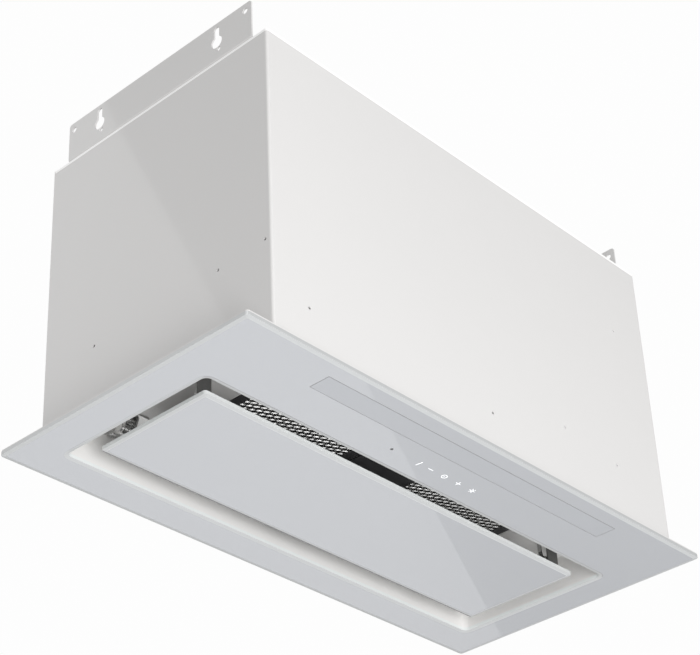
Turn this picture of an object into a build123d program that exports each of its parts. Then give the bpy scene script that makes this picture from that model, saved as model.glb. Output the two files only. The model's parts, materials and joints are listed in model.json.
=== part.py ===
from build123d import *
from math import acos, asin, cos, degrees, radians, sin
import os

# Built-in range hood, in millimetres.
# X runs along the hood, Y to its back and Z up.
# The origin is the centre of the fascia glass, on its lower face.

# Casing
casing_length = 527.8
casing_depth = 276.6
casing_top = 312.9
casing_centre_y = -2.0
casing_sheet = 1.2
fold_radius = 2.5
return_width = 14.0
rim_height = 12.0
back_screw_shares = [0.1, 0.37, 0.63, 0.9]
fixing_hole_radius = 1.4
side_fixing_places = [(72.0, 90.5), (-79.4, 92.2), (-133.0, 95.0)]
front_fixing_places = [(-222.6, 44.7), (5.7, 42.3), (112.0, 71.5), (189.5, 62.0), (213.0, 221.7)]

# Hanging brackets
bracket_length = 239.5
bracket_centre_y = -2.75
bracket_top = 356.2
bracket_sheet = 1.5
bracket_foot = 24.0
bracket_bend = 3.0
bracket_corner = 3.0
bracket_screw_shares = [-0.38, 0.0, 0.38]
corner_hole_radius = 3.0
corner_hole_z = 348.0
corner_hole_places = [-115.0, 110.5]
keyhole_radius = 6.5
keyhole_z = 335.0
keyhole_slot_width = 6.5
keyhole_slot_top = 352.0
keyhole_places = [-79.5, 74.5]
pilot_hole_radius = 2.2
pilot_hole_z = 326.0
pilot_hole_shift = -2.3

# Fascia
fascia_length = 598.0
fascia_width = 294.0
fascia_corner = 3.0
glass_thickness = 4.0
bevel_width = 4.0
bevel_height = 0.7
bevel_corner_share = 0.4
frame_sheet = 1.5
frame_inset = 0.5
upstand_height = 16.0
upstand_relief = 8.0
opening_length = 520.0
opening_width = 169.5
opening_centre_y = 23.45
opening_corner = 6.0

# Recess
pan_sheet = 1.0
pan_corner = 6.0
pan_lip = 9.5
deck_z = 37.5
window_rim = 8.5

# Suction panel
panel_length = 483.0
panel_width = 126.4
panel_centre_y = 22.5
panel_bottom = 2.0
panel_corner = 3.0
backing_sheet = 1.0
backing_length = 466.0
backing_width = 111.0
backing_rim = 5.0
backing_corner = 3.0
bead_length = 380.0
bead_width = 9.0
bead_height = 2.2
bead_spacing = 46.0

# Panel hinges
hinge_x = 222.0
hinge_y = 77.0
hinge_z = 27.0
hinge_pin_radius = 2.5
hinge_running_gap = 0.05
knuckle_radius = 5.5
knuckle_length = 8.8
arm_web = 3.0
arm_sheet = 1.5
arm_foot_length = 24.0
arm_foot_width = 20.0
arm_foot_rear = 76.0
arm_knee_z = 14.0
ear_sheet = 1.5
ear_radius = 6.0
ear_root = 20.0
hinge_foot_sheet = 1.2
hinge_foot_width = 30.0
hinge_foot_front = 63.0
hinge_foot_rear = 107.0
hinge_screw_y = 104.0
hinge_screw_spread = 16.8
hinge_slot_length = 9.0
hinge_slot_width = 4.0
hinge_slot_shift = 3.0
pin_head = 1.2
hinge_side_gap = 0.3
foot_corner = 2.0
web_margin = 2.0

# Panel catches
catch_x = 226.4
catch_y = -22.0
catch_span = 15.0
catch_strip = 0.8
catch_depth = 4.0
catch_leg_bottom = 13.0
catch_grip = 8.0
catch_grip_z = 20.0
catch_shoulder = 7.0
catch_flare = 3.5
catch_bend = 1.5
stud_base_radius = 4.5
stud_stem_radius = 2.0
stud_head_bottom = 18.0
stud_head_top = 24.0
stud_gap = 0.3
stud_base_height = 1.5
stud_rim = 0.5
stop_sheet = 1.2
stop_inner_x = 222.5
stop_outer_x = 238.0
stop_play = 0.5
stop_foot = 8.0
stop_toe_x = 234.0
stop_toe_height = 9.0
stop_gap = 0.4

# Grease filters
filter_length = 146.0
filter_width = 120.0
filter_centre_x = 105.0
filter_centre_y = 23.5
filter_height = 9.0
filter_border = 10.0
filter_wall = 1.0
filter_corner = 2.0
filter_window_corner = 1.5
filter_end_gap = 1.0
filter_swing_gap = 1.3
mesh_long_way = 16.0
mesh_short_way = 10.0
mesh_strand = 2.0
mesh_knuckle = 3.2
mesh_sheet = 0.8
mesh_seat_gap = 0.5
core_height = 4.6
guard_slots = 9
guard_slot_width = 7.0
guard_slot_margin = 3.0
tab_width = 14.0
tab_sheet = 1.5
tab_reach = 6.0
tab_spread = 90.0
tab_slot_height = 4.4
spring_width = 16.0
spring_strip = 0.5
spring_bump = 1.0
spring_rise = 1.6
spring_margin = 1.0
cover_half = 31.5
cover_sheet = 1.0
cover_corner = 1.0

# Lamp and controls
lamp_length = 380.5
lamp_width = 21.2
lamp_centre_y = -118.1
lamp_joint = 0.3
lamp_flange = 3.2
lamp_flange_height = 1.2
profile_width = 31.6
profile_length = 394.0
profile_height = 12.0
profile_wall = 1.5
board_sheet = 1.6
lamp_board_width = 12.0
diode_count = 20
diode_pitch = 19.0
diode_size = 3.0
diode_height = 0.8
touch_centre_x = -14.5
touch_length = 119.0
touch_margin = 3.0
touch_room = 2.75
touch_cut = 1.0
touch_housing_height = 10.0
housing_wall = 1.5
housing_corner = 2.0
sensor_x = -68.0
sensor_y = -86.0
sensor_radius = 1.5
driver_length = 80.0
driver_width = 27.0
driver_height = 21.0
driver_corner = 3.0
driver_foot = 11.0
driver_foot_height = 2.0
driver_end_gap = 129.0
driver_y = -88.0

# Blower
blower_y = -30.0
blower_z = 170.0
scroll_step = 12.0
scroll_radius = 97.0
scroll_half_width = 68.0
scroll_wall = 2.5
scroll_mouth_z = 285.0
tongue_offset = 40.0
tongue_radius = 3.0
inlet_radius = 76.0
bell_radius = 8.0
wheel_radius = 80.0
wheel_half_width = 58.0
wheel_ring = 2.0
wheel_disc_margin = 3.0
blade_count = 36
blade_inner_radius = 66.0
blade_sheet = 1.2
blade_curve_radius = 11.0
blade_chords = 3
blade_drop = 8.25
hub_radius = 13.0
hub_disc = 2.5
hub_motor_gap = 3.0
shaft_radius = 4.0
shaft_gap = 0.08
shaft_depth = 22.0
shaft_end_gap = 2.0
motor_radius = 45.0
motor_front_x = -16.0
motor_rear_x = -98.0
motor_shoulder = 7.0
motor_boss_radius = 12.0
motor_boss_height = 3.0
spider_sheet = 3.0
spider_arm_width = 11.0
spider_arms = 3
spider_ring = 4.0
spider_turn = 30.0
spider_reach = 84.0
boss_radius = 5.0
boss_height = 11.0
boss_angles = [112.0, 146.0, 216.0, 250.0, 285.0, 322.0]
boss_sink = 1.2
boss_duct_height = 96.0
grommet_radius = 6.5
grommet_length = 12.0
grommet_places = [(24.0, 262.0), (84.0, 262.0)]
hanger_sheet = 1.5
hanger_foot = 18.0
hanger_margin = 10.0
hanger_corner = 6.0

# Outlet
outlet_y = 45.0
outlet_radius = 75.0
outlet_wall = 2.0
mouth_corner = 3.0
collar_flange_radius = 79.5
collar_flange = 2.5
collar_height = 50.0
seat_z = 318.0
seat_sheet = 2.0
seat_width = 3.5
flap_sheet = 1.5
flap_gap = 0.7
flap_rest_gap = 0.3
flap_pin_gap = 0.4
flap_pin_radius = 2.0
flap_running_gap = 0.06
flap_meeting_gap = 0.8
flap_knuckle_radius = 3.2
flap_knuckle_length = 14.0
rear_knuckle_x = 50.0
front_knuckle_x = 25.0

# Wiring parts
box_x = 152.0
box_length = 105.0
box_depth = 38.0
box_bottom = 50.0
box_height = 45.0
box_wall = 2.0
box_chamfer = 0.8
rail_gap = 0.5
rail_width = 6.0
rail_height = 4.0
rail_spread = 74.0
capacitor_radius = 15.0
capacitor_length = 60.0
capacitor_wall_gap = 3.0
capacitor_chamfer = 1.2
clip_strip = 1.5
clip_height = 12.0
clip_foot = 16.0
gland_x = -200.0
gland_y = 98.0
gland_bore = 4.0
gland_radius = 9.0
gland_step = 2.0
gland_hexagon = 6.0
gland_nut = 5.0
gland_dome = 14.0

# Fasteners
screw_head_radius = 3.5
screw_head_height = 1.9
screw_head_taper = 0.75
screw_shank_radius = 1.9
screw_shank_length = 6.0
flat_head_height = 1.0

# Places worked out from the sizes above
frame_top = glass_thickness + frame_sheet
lip_front = opening_centre_y - opening_width / 2 - pan_lip
channel_back = lamp_centre_y + profile_width / 2
touch_centre_y = (lip_front + channel_back) / 2
touch_width = lip_front - channel_back - 2 * (touch_margin + touch_room + touch_cut)
driver_x = driver_end_gap - fascia_length / 2
stop_y = catch_y - stud_base_radius - stop_play - stop_sheet
casing_front = casing_centre_y - casing_depth / 2
casing_back = casing_centre_y + casing_depth / 2
casing_end = casing_length / 2
inner_end = casing_end - casing_sheet
inner_front = casing_front + casing_sheet
inner_back = casing_back - 2 * casing_sheet
inner_length = 2 * inner_end
inner_depth = inner_back - inner_front
inner_centre_y = (inner_back + inner_front) / 2
plate_bottom = casing_top - casing_sheet
deck_top = deck_z + pan_sheet
panel_glass_top = panel_bottom + glass_thickness
backing_top = panel_glass_top + backing_sheet
filter_front = filter_centre_y - filter_width / 2
filter_back = filter_centre_y + filter_width / 2
filter_top = deck_z + filter_height
filter_axis_z = deck_z + filter_height / 2
filter_window_length = filter_length - 2 * filter_border
filter_window_width = filter_width - 2 * filter_border
window_length = filter_length + 2 * filter_end_gap
window_width = filter_width + 2 * filter_swing_gap
hinge_foot_bottom = deck_z - hinge_foot_sheet
wheel_disc_radius = wheel_radius - wheel_disc_margin
blower_axis = Axis((0, blower_y, blower_z), (1, 0, 0))
blower_plane = Plane(origin=(0, blower_y, blower_z), x_dir=(0, 1, 0), z_dir=(1, 0, 0))
blower_section = Plane(origin=(0, blower_y, blower_z), x_dir=(1, 0, 0), z_dir=(0, -1, 0))
mouth_front = blower_y + tongue_offset
mouth_back = blower_y + scroll_radius + 2.5 * scroll_step
outlet_inner_radius = outlet_radius - outlet_wall
flap_bottom = seat_z + seat_sheet + flap_rest_gap
flap_axis_z = flap_bottom + flap_sheet + flap_pin_gap + flap_pin_radius
grommet_outer_x = scroll_half_width + grommet_length


def rod(start, direction, radius, length):
    """Round bar from a start point along a direction."""
    return extrude(Plane(origin=start, z_dir=direction) * Circle(radius), amount=length)


def tube(start, direction, radius, bore, length):
    """Round bar with a bore."""
    ring = Circle(radius) - Circle(bore)
    return extrude(Plane(origin=start, z_dir=direction) * ring, amount=length)


def sheet(length, width, bottom, thickness, centre=(0.0, 0.0), corner=0.0):
    """Level plate with square or rounded corners."""
    outline = RectangleRounded(length, width, corner) if corner else Rectangle(length, width)
    return extrude(Pos(centre[0], centre[1], bottom) * outline, amount=thickness)


def upright(outline, x, thickness):
    """Outline drawn in Y and Z, standing at a place along X and thickened towards +X."""
    return extrude(Plane.YZ.offset(x) * outline, amount=thickness)


def cross(outline, y, thickness):
    """Outline drawn in X and Z, standing at a place along Y and thickened towards +Y."""
    return extrude(Plane.XZ.offset(-y) * outline, amount=-thickness)


def bevelled_glass(length, width, bottom, corner):
    """Glass sheet whose lower edge is ground to a flat bevel."""
    low = RectangleRounded(length - 2 * bevel_width, width - 2 * bevel_width, corner * bevel_corner_share)
    wide = RectangleRounded(length, width, corner)
    foot = loft([Pos(0, 0, bottom) * low, Pos(0, 0, bottom + bevel_height) * wide], ruled=True)
    rest = extrude(Pos(0, 0, bottom + bevel_height) * wide, amount=glass_thickness - bevel_height)
    return foot + rest


def screw(seat, direction, head_height=screw_head_height, length=screw_shank_length):
    """Screw with a low head on its seat, driven along a direction."""
    back = tuple(-part for part in direction)
    top_radius = screw_head_radius * screw_head_taper
    head = Cone(screw_head_radius, top_radius, head_height, align=(Align.CENTER, Align.CENTER, Align.MIN))
    return Plane(origin=seat, z_dir=back) * head + rod(seat, direction, screw_shank_radius, length)


def mirrored(part):
    """The same part on the right of the hood."""
    return mirror(part, about=Plane.YZ)


# Casing


def body_shell():
    """Front and both ends folded from one sheet, with a narrow return down each back edge."""
    depth = casing_depth - casing_sheet
    centre_y = casing_front + depth / 2
    outer = Rectangle(casing_length, depth)
    outer = fillet(outer.vertices().sort_by(Axis.Y)[:2], fold_radius)
    inner = Rectangle(inner_length, depth - 2 * casing_sheet)
    inner = fillet(inner.vertices().sort_by(Axis.Y)[:2], fold_radius - casing_sheet)
    rear = Pos(0, depth / 2) * Rectangle(inner_length - 2 * return_width, 4 * casing_sheet)
    section = Pos(0, centre_y, frame_top) * (outer - inner - rear)
    shell = extrude(section, amount=casing_top - frame_top)
    for y, z in side_fixing_places:
        shell -= rod((-casing_end - 1, y, z), (1, 0, 0), fixing_hole_radius, casing_length + 2)
    for x, z in front_fixing_places:
        shell -= rod((x, casing_front - 1, z), (0, 1, 0), fixing_hole_radius, casing_sheet + 2)
    for x, y, z in back_screw_places():
        shell -= rod((x, y + 1, z), (0, -1, 0), screw_shank_radius, 3 * casing_sheet + 1)
    return shell


def back_screw_places():
    """Screws down both edges of the back panel."""
    edge = inner_end - return_width / 2
    span = casing_top - frame_top
    heights = [frame_top + span * share for share in back_screw_shares]
    return [(side * edge, casing_back, z) for side in (-1, 1) for z in heights]


def back_panel():
    """Flat back sheet that closes the casing."""
    height = casing_top - frame_top
    outline = Pos(0, frame_top + height / 2) * Rectangle(casing_length, height)
    panel = cross(outline, casing_back - casing_sheet, casing_sheet)
    for x, y, z in back_screw_places():
        panel -= rod((x, y + 1, z), (0, -1, 0), screw_shank_radius, casing_sheet + 2)
    return panel


def bracket_screw_places():
    """Three screws along the foot of each hanging bracket."""
    x = casing_end - bracket_foot / 2 - bracket_bend / 2
    row = [bracket_centre_y + bracket_length * share for share in bracket_screw_shares]
    return [(side * x, y, casing_top + bracket_sheet) for side in (-1, 1) for y in row]


def top_plate():
    """Top sheet with a turned-down rim, the outlet hole and the gland hole."""
    centre = (0, inner_centre_y)
    plate = sheet(inner_length, inner_depth, casing_top - rim_height, rim_height, centre, fold_radius)
    hollow = (inner_length - 2 * casing_sheet, inner_depth - 2 * casing_sheet)
    plate -= sheet(*hollow, casing_top - rim_height, rim_height - casing_sheet, centre)
    plate -= rod((0, outlet_y, plate_bottom - 1), (0, 0, 1), outlet_inner_radius, casing_sheet + 2)
    neck = gland_radius - gland_step
    plate -= rod((gland_x, gland_y, plate_bottom - 1), (0, 0, 1), neck, casing_sheet + 2)
    for x, y, z in bracket_screw_places():
        plate -= rod((x, y, z), (0, 0, -1), screw_shank_radius, screw_shank_length)
    return plate


def keyhole():
    """Round hole that lets a screw head through, with the slot above it that carries the shank."""
    slot_height = keyhole_slot_top - keyhole_z
    slot = Pos(0, slot_height / 2) * Rectangle(keyhole_slot_width, slot_height)
    slot = fillet(slot.vertices().sort_by(Axis.Y)[-2:], keyhole_slot_width / 2 - 0.1)
    return Circle(keyhole_radius) + slot


def left_hanging_bracket():
    """Angle of flat sheet: a foot on the top plate and an upright with keyholes and corner holes."""
    edge = -casing_end
    height = bracket_top - casing_top
    section = Pos(edge + bracket_foot / 2, casing_top + height / 2) * Rectangle(bracket_foot, height)
    bend = section.vertices().sort_by(Axis.X)[:2].sort_by(Axis.Y)[0]
    section = fillet(bend, bracket_bend)
    hollow_foot = bracket_foot - bracket_sheet
    hollow = Pos(edge + bracket_sheet + hollow_foot / 2, casing_top + bracket_sheet + height / 2)
    hollow = hollow * Rectangle(hollow_foot, height)
    inner_bend = hollow.vertices().sort_by(Axis.X)[:2].sort_by(Axis.Y)[0]
    hollow = fillet(inner_bend, bracket_bend - bracket_sheet)
    start_y = bracket_centre_y - bracket_length / 2
    bracket = cross(section - hollow, start_y, bracket_length)
    blank = Pos(bracket_centre_y, casing_top + height / 2 - bracket_corner)
    blank = blank * Rectangle(bracket_length, height + 2 * bracket_corner)
    blank = fillet(blank.vertices().sort_by(Axis.Y)[-2:], bracket_corner)
    bracket = bracket & upright(blank, edge, bracket_foot)
    reach = bracket_sheet + 2
    for y in corner_hole_places:
        bracket -= rod((edge - 1, y, corner_hole_z), (1, 0, 0), corner_hole_radius, reach)
    for y in keyhole_places:
        bracket -= upright(Pos(y, keyhole_z) * keyhole(), edge - 1, reach)
        pilot = (edge - 1, y + pilot_hole_shift, pilot_hole_z)
        bracket -= rod(pilot, (1, 0, 0), pilot_hole_radius, reach)
    for x, y, z in bracket_screw_places():
        bracket -= rod((x, y, z + 1), (0, 0, -1), screw_shank_radius, screw_shank_length)
    return bracket


def casing_screws():
    """Screws of the back panel and of both brackets, one group."""
    back = [screw(place, (0, -1, 0)) for place in back_screw_places()]
    top = [screw(place, (0, 0, -1)) for place in bracket_screw_places()]
    return Compound(children=back + top)


# Fascia


def lamp_window(clearance):
    """Rectangle of the lamp window, grown by a clearance."""
    return Pos(0, lamp_centre_y) * Rectangle(lamp_length + 2 * clearance, lamp_width + 2 * clearance)


def fascia_glass():
    """White glass with a bevelled edge, a bevelled opening, the lamp window and the sensor hole."""
    glass = bevelled_glass(fascia_length, fascia_width, 0, fascia_corner)
    centre = (0, opening_centre_y)
    glass -= sheet(opening_length, opening_width, -1, glass_thickness + 2, centre, opening_corner)
    mouth = RectangleRounded(
        opening_length + 2 * bevel_width, opening_width + 2 * bevel_width, opening_corner + bevel_width
    )
    throat = RectangleRounded(opening_length, opening_width, opening_corner)
    glass -= loft([Pos(*centre, 0) * mouth, Pos(*centre, bevel_height) * throat], ruled=True)
    glass -= extrude(Pos(0, 0, -1) * lamp_window(lamp_joint), amount=glass_thickness + 2)
    glass -= rod((sensor_x, sensor_y, -1), (0, 0, 1), sensor_radius, glass_thickness + 2)
    return glass


def fascia_frame():
    """Steel ring bonded behind the glass, with four upstands that stand inside the casing."""
    length = fascia_length - 2 * frame_inset
    width = fascia_width - 2 * frame_inset
    frame = sheet(length, width, glass_thickness, frame_sheet, corner=fascia_corner - frame_inset)
    ring = Rectangle(inner_length, inner_depth)
    ring -= Rectangle(inner_length - 2 * frame_sheet, inner_depth - 2 * frame_sheet)
    corner = Rectangle(2 * upstand_relief, 2 * upstand_relief)
    for x in (-inner_length / 2, inner_length / 2):
        for y in (-inner_depth / 2, inner_depth / 2):
            ring -= Pos(x, y) * corner
    frame += extrude(Pos(0, inner_centre_y, frame_top) * ring, amount=upstand_height)
    pan_size = (opening_length + 2 * pan_sheet, opening_width + 2 * pan_sheet)
    frame -= sheet(*pan_size, 0, frame_top + 1, (0, opening_centre_y), pan_corner + pan_sheet)
    frame -= extrude(lamp_window(lamp_flange + 1), amount=frame_top + 1)
    touch = Rectangle(touch_length + 2 * touch_cut, touch_width + 2 * touch_cut)
    frame -= extrude(Pos(touch_centre_x, touch_centre_y) * touch, amount=frame_top + 1)
    return frame


# Recess


def filter_window(side, grow=0.0):
    """Rectangle of the deck window over one filter."""
    outline = Rectangle(window_length + 2 * grow, window_width + 2 * grow)
    return Pos(side * filter_centre_x, filter_centre_y) * outline


def recess_pan():
    """Pressed pan behind the opening: rounded walls, lips on the fascia and a deck with two windows."""
    centre = (0, opening_centre_y)
    outer = (opening_length + 2 * pan_sheet, opening_width + 2 * pan_sheet)
    height = deck_top - glass_thickness
    pan = sheet(*outer, glass_thickness, height, centre, pan_corner + pan_sheet)
    lip = sheet(outer[0] - 2 * pan_corner, outer[1] + 2 * pan_lip, frame_top, pan_sheet, centre)
    depth = deck_z - glass_thickness
    hollow = sheet(opening_length, opening_width, glass_thickness, depth, centre, pan_corner)
    pan = pan + lip - hollow
    for side in (-1, 1):
        rim = filter_window(side, pan_sheet) - filter_window(side)
        pan -= extrude(Pos(0, 0, deck_z - 1) * filter_window(side), amount=pan_sheet + 2)
        pan += extrude(Pos(0, 0, deck_z) * rim, amount=window_rim)
        for tab in (-tab_spread / 2, tab_spread / 2):
            slot = Pos(side * filter_centre_x + tab, filter_axis_z)
            slot = slot * Rectangle(tab_width + 2 * filter_end_gap, tab_slot_height)
            pan -= cross(slot, filter_back, filter_swing_gap + pan_sheet + 1)
        for spot in hinge_screw_places(side):
            pan -= rod(spot, (0, 0, 1), screw_shank_radius, pan_sheet + 2)
    return pan


def centre_cover():
    """Dark strip that hides the bar of the deck between the filters."""
    width = opening_width - 2 * filter_swing_gap
    centre = (0, opening_centre_y)
    return sheet(2 * cover_half, width, deck_z - cover_sheet, cover_sheet, centre, cover_corner)


# Suction panel


def panel_glass():
    """White glass panel with a bevelled lower edge."""
    return Pos(0, panel_centre_y) * bevelled_glass(panel_length, panel_width, panel_bottom, panel_corner)


def panel_backing():
    """Steel tray bonded on the glass, with a turned-up rim and two stiffening beads."""
    centre = (0, panel_centre_y)
    height = backing_sheet + backing_rim
    tray = sheet(backing_length, backing_width, panel_glass_top, height, centre, backing_corner)
    hollow = (backing_length - 2 * backing_sheet, backing_width - 2 * backing_sheet)
    tray -= sheet(*hollow, backing_top, backing_rim, centre, backing_corner - backing_sheet)
    dome = (bead_width / 2) ** 2 / (2 * bead_height) + bead_height / 2
    bead = Pos(0, bead_height - dome) * Circle(dome)
    bead = bead & Pos(0, bead_height) * Rectangle(bead_width, 2 * bead_height)
    for shift in (-bead_spacing / 2, bead_spacing / 2):
        place = Pos(panel_centre_y + shift, backing_top)
        tray += upright(place * bead, -bead_length / 2, bead_length)
    return tray


def hinge_screw_places(side):
    """Two screws at the back of a hinge foot."""
    half = hinge_screw_spread / 2
    return [(side * (hinge_x + shift), hinge_screw_y, hinge_foot_bottom) for shift in (-half, half)]


def left_hinge_arm():
    """Foot on the panel, a tapered web and a bored knuckle."""
    foot_centre = (-hinge_x, arm_foot_rear - arm_foot_length / 2)
    arm = sheet(arm_foot_width, arm_foot_length, backing_top, arm_sheet, foot_centre, foot_corner)
    low = backing_top + arm_sheet
    front = arm_foot_rear - arm_foot_length + web_margin
    web = make_face(
        Polyline(
            (front, low),
            (arm_foot_rear, low),
            (arm_foot_rear, arm_knee_z),
            (hinge_y + knuckle_radius, hinge_z),
            (hinge_y - knuckle_radius, hinge_z),
            close=True,
        )
    )
    arm += upright(web, -hinge_x - arm_web / 2, arm_web)
    start = (-hinge_x - knuckle_length / 2, hinge_y, hinge_z)
    arm += rod(start, (1, 0, 0), knuckle_radius, knuckle_length)
    arm -= rod(start, (1, 0, 0), hinge_pin_radius + hinge_running_gap, knuckle_length)
    return arm


def left_hinge_bracket():
    """Foot under the deck with two ears that carry the pin."""
    foot_length = hinge_foot_rear - hinge_foot_front
    centre = (-hinge_x, hinge_foot_front + foot_length / 2)
    bracket = sheet(hinge_foot_width, foot_length, hinge_foot_bottom, hinge_foot_sheet, centre, foot_corner)
    ear = make_face(
        Polyline(
            (hinge_y - ear_root / 2, hinge_foot_bottom),
            (hinge_y + ear_root / 2, hinge_foot_bottom),
            (hinge_y + ear_radius, hinge_z),
            (hinge_y - ear_radius, hinge_z),
            close=True,
        )
    )
    ear = ear + Pos(hinge_y, hinge_z) * Circle(ear_radius) - Pos(hinge_y, hinge_z) * Circle(hinge_pin_radius)
    inner = knuckle_length / 2 + hinge_side_gap
    bracket += upright(ear, -hinge_x + inner, ear_sheet)
    bracket += upright(ear, -hinge_x - inner - ear_sheet, ear_sheet)
    slot = Pos(-hinge_x + hinge_slot_shift, hinge_y) * SlotOverall(hinge_slot_length, hinge_slot_width)
    bracket -= extrude(Pos(0, 0, hinge_foot_bottom - 1) * slot, amount=hinge_foot_sheet + 2)
    for spot in hinge_screw_places(-1):
        bracket -= rod((spot[0], spot[1], spot[2] - 1), (0, 0, 1), screw_shank_radius, hinge_foot_sheet + 2)
    return bracket


def hinge_pins():
    """The two pins, each with a head outside both ears."""
    pins = []
    half = knuckle_length / 2 + hinge_side_gap + ear_sheet
    head = hinge_pin_radius + pin_head
    for side in (-1, 1):
        start = (side * hinge_x - half, hinge_y, hinge_z)
        end = (side * hinge_x + half, hinge_y, hinge_z)
        pin = rod(start, (1, 0, 0), hinge_pin_radius, 2 * half)
        pins.append(pin + rod(start, (-1, 0, 0), head, pin_head) + rod(end, (1, 0, 0), head, pin_head))
    return Compound(children=pins)


def hinge_screws():
    """Flat screws through the hinge feet into the deck, one group."""
    places = hinge_screw_places(-1) + hinge_screw_places(1)
    return Compound(children=[screw(place, (0, 0, 1), flat_head_height) for place in places])


def left_catch_spring():
    """Spring strip bent into an arch, whose legs pinch the stud of the panel."""
    half = catch_span / 2
    top = deck_z - catch_strip / 2
    waist = catch_grip / 2 + catch_strip / 2
    shoulder = catch_grip_z + catch_shoulder
    foot = waist + catch_flare
    right_leg = [(half, top), (half, shoulder), (waist, catch_grip_z), (foot, catch_leg_bottom)]
    left_leg = [(-x, z) for x, z in reversed(right_leg)]
    path = FilletPolyline(*left_leg, *right_leg, radius=catch_bend)
    strip = Pos(-catch_x, 0) * trace(path, catch_strip)
    return cross(strip, catch_y - catch_depth / 2, catch_depth)


def catch_studs():
    """Mushroom studs on the panel, one under each catch."""
    head_radius = catch_grip / 2 - stud_gap
    middle = (stud_head_bottom + stud_head_top) / 2
    profile = Polyline(
        (0, backing_top),
        (stud_base_radius, backing_top),
        (stud_base_radius, backing_top + stud_base_height),
        (stud_stem_radius, backing_top + stud_base_height),
        (stud_stem_radius, stud_head_bottom),
        (head_radius, middle - stud_rim),
        (head_radius, middle + stud_rim),
        (stud_stem_radius, stud_head_top),
        (0, stud_head_top),
        close=True,
    )
    stud = revolve(Plane.XZ * make_face(profile), Axis.Z)
    return Compound(children=[Pos(side * catch_x, catch_y) * stud for side in (-1, 1)])


def left_panel_stop():
    """Angle in front of the catch, with a toe past the backing that stops the closed panel."""
    width = stop_outer_x - stop_inner_x
    centre_x = -(stop_outer_x + stop_inner_x) / 2
    foot_centre = (centre_x, stop_y - stop_foot / 2 + stop_sheet)
    foot = sheet(width, stop_foot, deck_z - stop_sheet, stop_sheet, foot_centre)
    toe = panel_glass_top + stop_gap
    low = toe + stop_toe_height
    blade = make_face(
        Polyline(
            (-stop_inner_x, deck_z),
            (-stop_outer_x, deck_z),
            (-stop_outer_x, toe),
            (-stop_toe_x, toe),
            (-stop_toe_x, low),
            (-stop_inner_x, low),
            close=True,
        )
    )
    return foot + cross(blade, stop_y, stop_sheet)


# Grease filters


def filter_layer(bottom, height, gap_round):
    """Flat layer that lies inside the channel of the filter frame."""
    length = filter_length - 2 * filter_wall - 2 * gap_round
    width = filter_width - 2 * filter_wall - 2 * gap_round
    centre = (-filter_centre_x, filter_centre_y)
    return sheet(length, width, bottom, height, centre)


def left_filter_frame():
    """Channel frame round the filter, with two tabs at the back."""
    centre = (-filter_centre_x, filter_centre_y)
    frame = sheet(filter_length, filter_width, deck_z, filter_height, centre, filter_corner)
    frame -= filter_layer(deck_z + filter_wall, filter_height - 2 * filter_wall, 0)
    window = (filter_window_length, filter_window_width)
    frame -= sheet(*window, deck_z - 1, filter_height + 2, centre, filter_window_corner)
    for shift in (-tab_spread / 2, tab_spread / 2):
        middle = (-filter_centre_x + shift, filter_back + tab_reach / 2 - 0.5)
        frame += sheet(tab_width, tab_reach + 1, filter_axis_z - tab_sheet / 2, tab_sheet, middle)
    return frame


def diamond_row(count, pitch):
    """Places of one row of diamonds, centred."""
    return [pitch * (index - (count - 1) / 2) for index in range(count)]


def left_filter_mesh():
    """Expanded face mesh: staggered diamonds in thin sheet."""
    half_long = (mesh_long_way - mesh_knuckle) / 2
    half_short = (mesh_short_way - mesh_strand) / 2
    diamond = make_face(
        Polyline((-half_long, 0), (0, -half_short), (half_long, 0), (0, half_short), close=True)
    )
    columns = int(filter_window_length // mesh_long_way)
    rows = int(filter_window_width // mesh_short_way)
    holes = Sketch()
    for y in diamond_row(rows, mesh_short_way):
        holes += [Pos(x, y) * diamond for x in diamond_row(columns, mesh_long_way)]
    for y in diamond_row(rows - 1, mesh_short_way):
        holes += [Pos(x, y) * diamond for x in diamond_row(columns - 1, mesh_long_way)]
    bottom = deck_z + filter_wall
    mesh = filter_layer(bottom, mesh_sheet, mesh_seat_gap)
    place = Pos(-filter_centre_x, filter_centre_y, bottom - 1)
    return mesh - extrude(place * holes, amount=mesh_sheet + 2)


def left_filter_core():
    """Pack of crimped wire layers between the face mesh and the guard."""
    return filter_layer(deck_z + filter_wall + mesh_sheet, core_height, mesh_seat_gap)


def left_filter_guard():
    """Slotted sheet over the core."""
    bottom = deck_z + filter_wall + mesh_sheet + core_height
    height = filter_top - filter_wall - bottom
    guard = filter_layer(bottom, height, mesh_seat_gap)
    pitch = filter_window_length / guard_slots
    slot = SlotOverall(filter_window_width - 2 * guard_slot_margin, guard_slot_width, rotation=90)
    slots = Sketch() + [Pos(x, 0) * slot for x in diamond_row(guard_slots, pitch)]
    return guard - extrude(Pos(-filter_centre_x, filter_centre_y, bottom - 1) * slots, amount=height + 2)


def left_filter_spring():
    """Leaf spring on the front edge of the filter, with a bump that snaps over the deck rim."""
    start = filter_front
    low = deck_z + spring_margin
    high = filter_top - spring_margin
    middle = (low + high) / 2
    path = Polyline(
        (start, high),
        (start - spring_strip, high),
        (start - spring_strip, middle + spring_rise),
        (start - spring_bump, middle),
        (start - spring_strip, middle - spring_rise),
        (start - spring_strip, low),
        (start, low),
        close=True,
    )
    return upright(make_face(path), -filter_centre_x - spring_width / 2, spring_width)


# Lamp and controls


def lamp_diffuser():
    """Opal strip flush with the glass, with a flange on the glass's upper face."""
    strip = extrude(lamp_window(0), amount=glass_thickness)
    flange = extrude(Pos(0, 0, glass_thickness) * lamp_window(lamp_flange), amount=lamp_flange_height)
    return strip + flange


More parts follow.
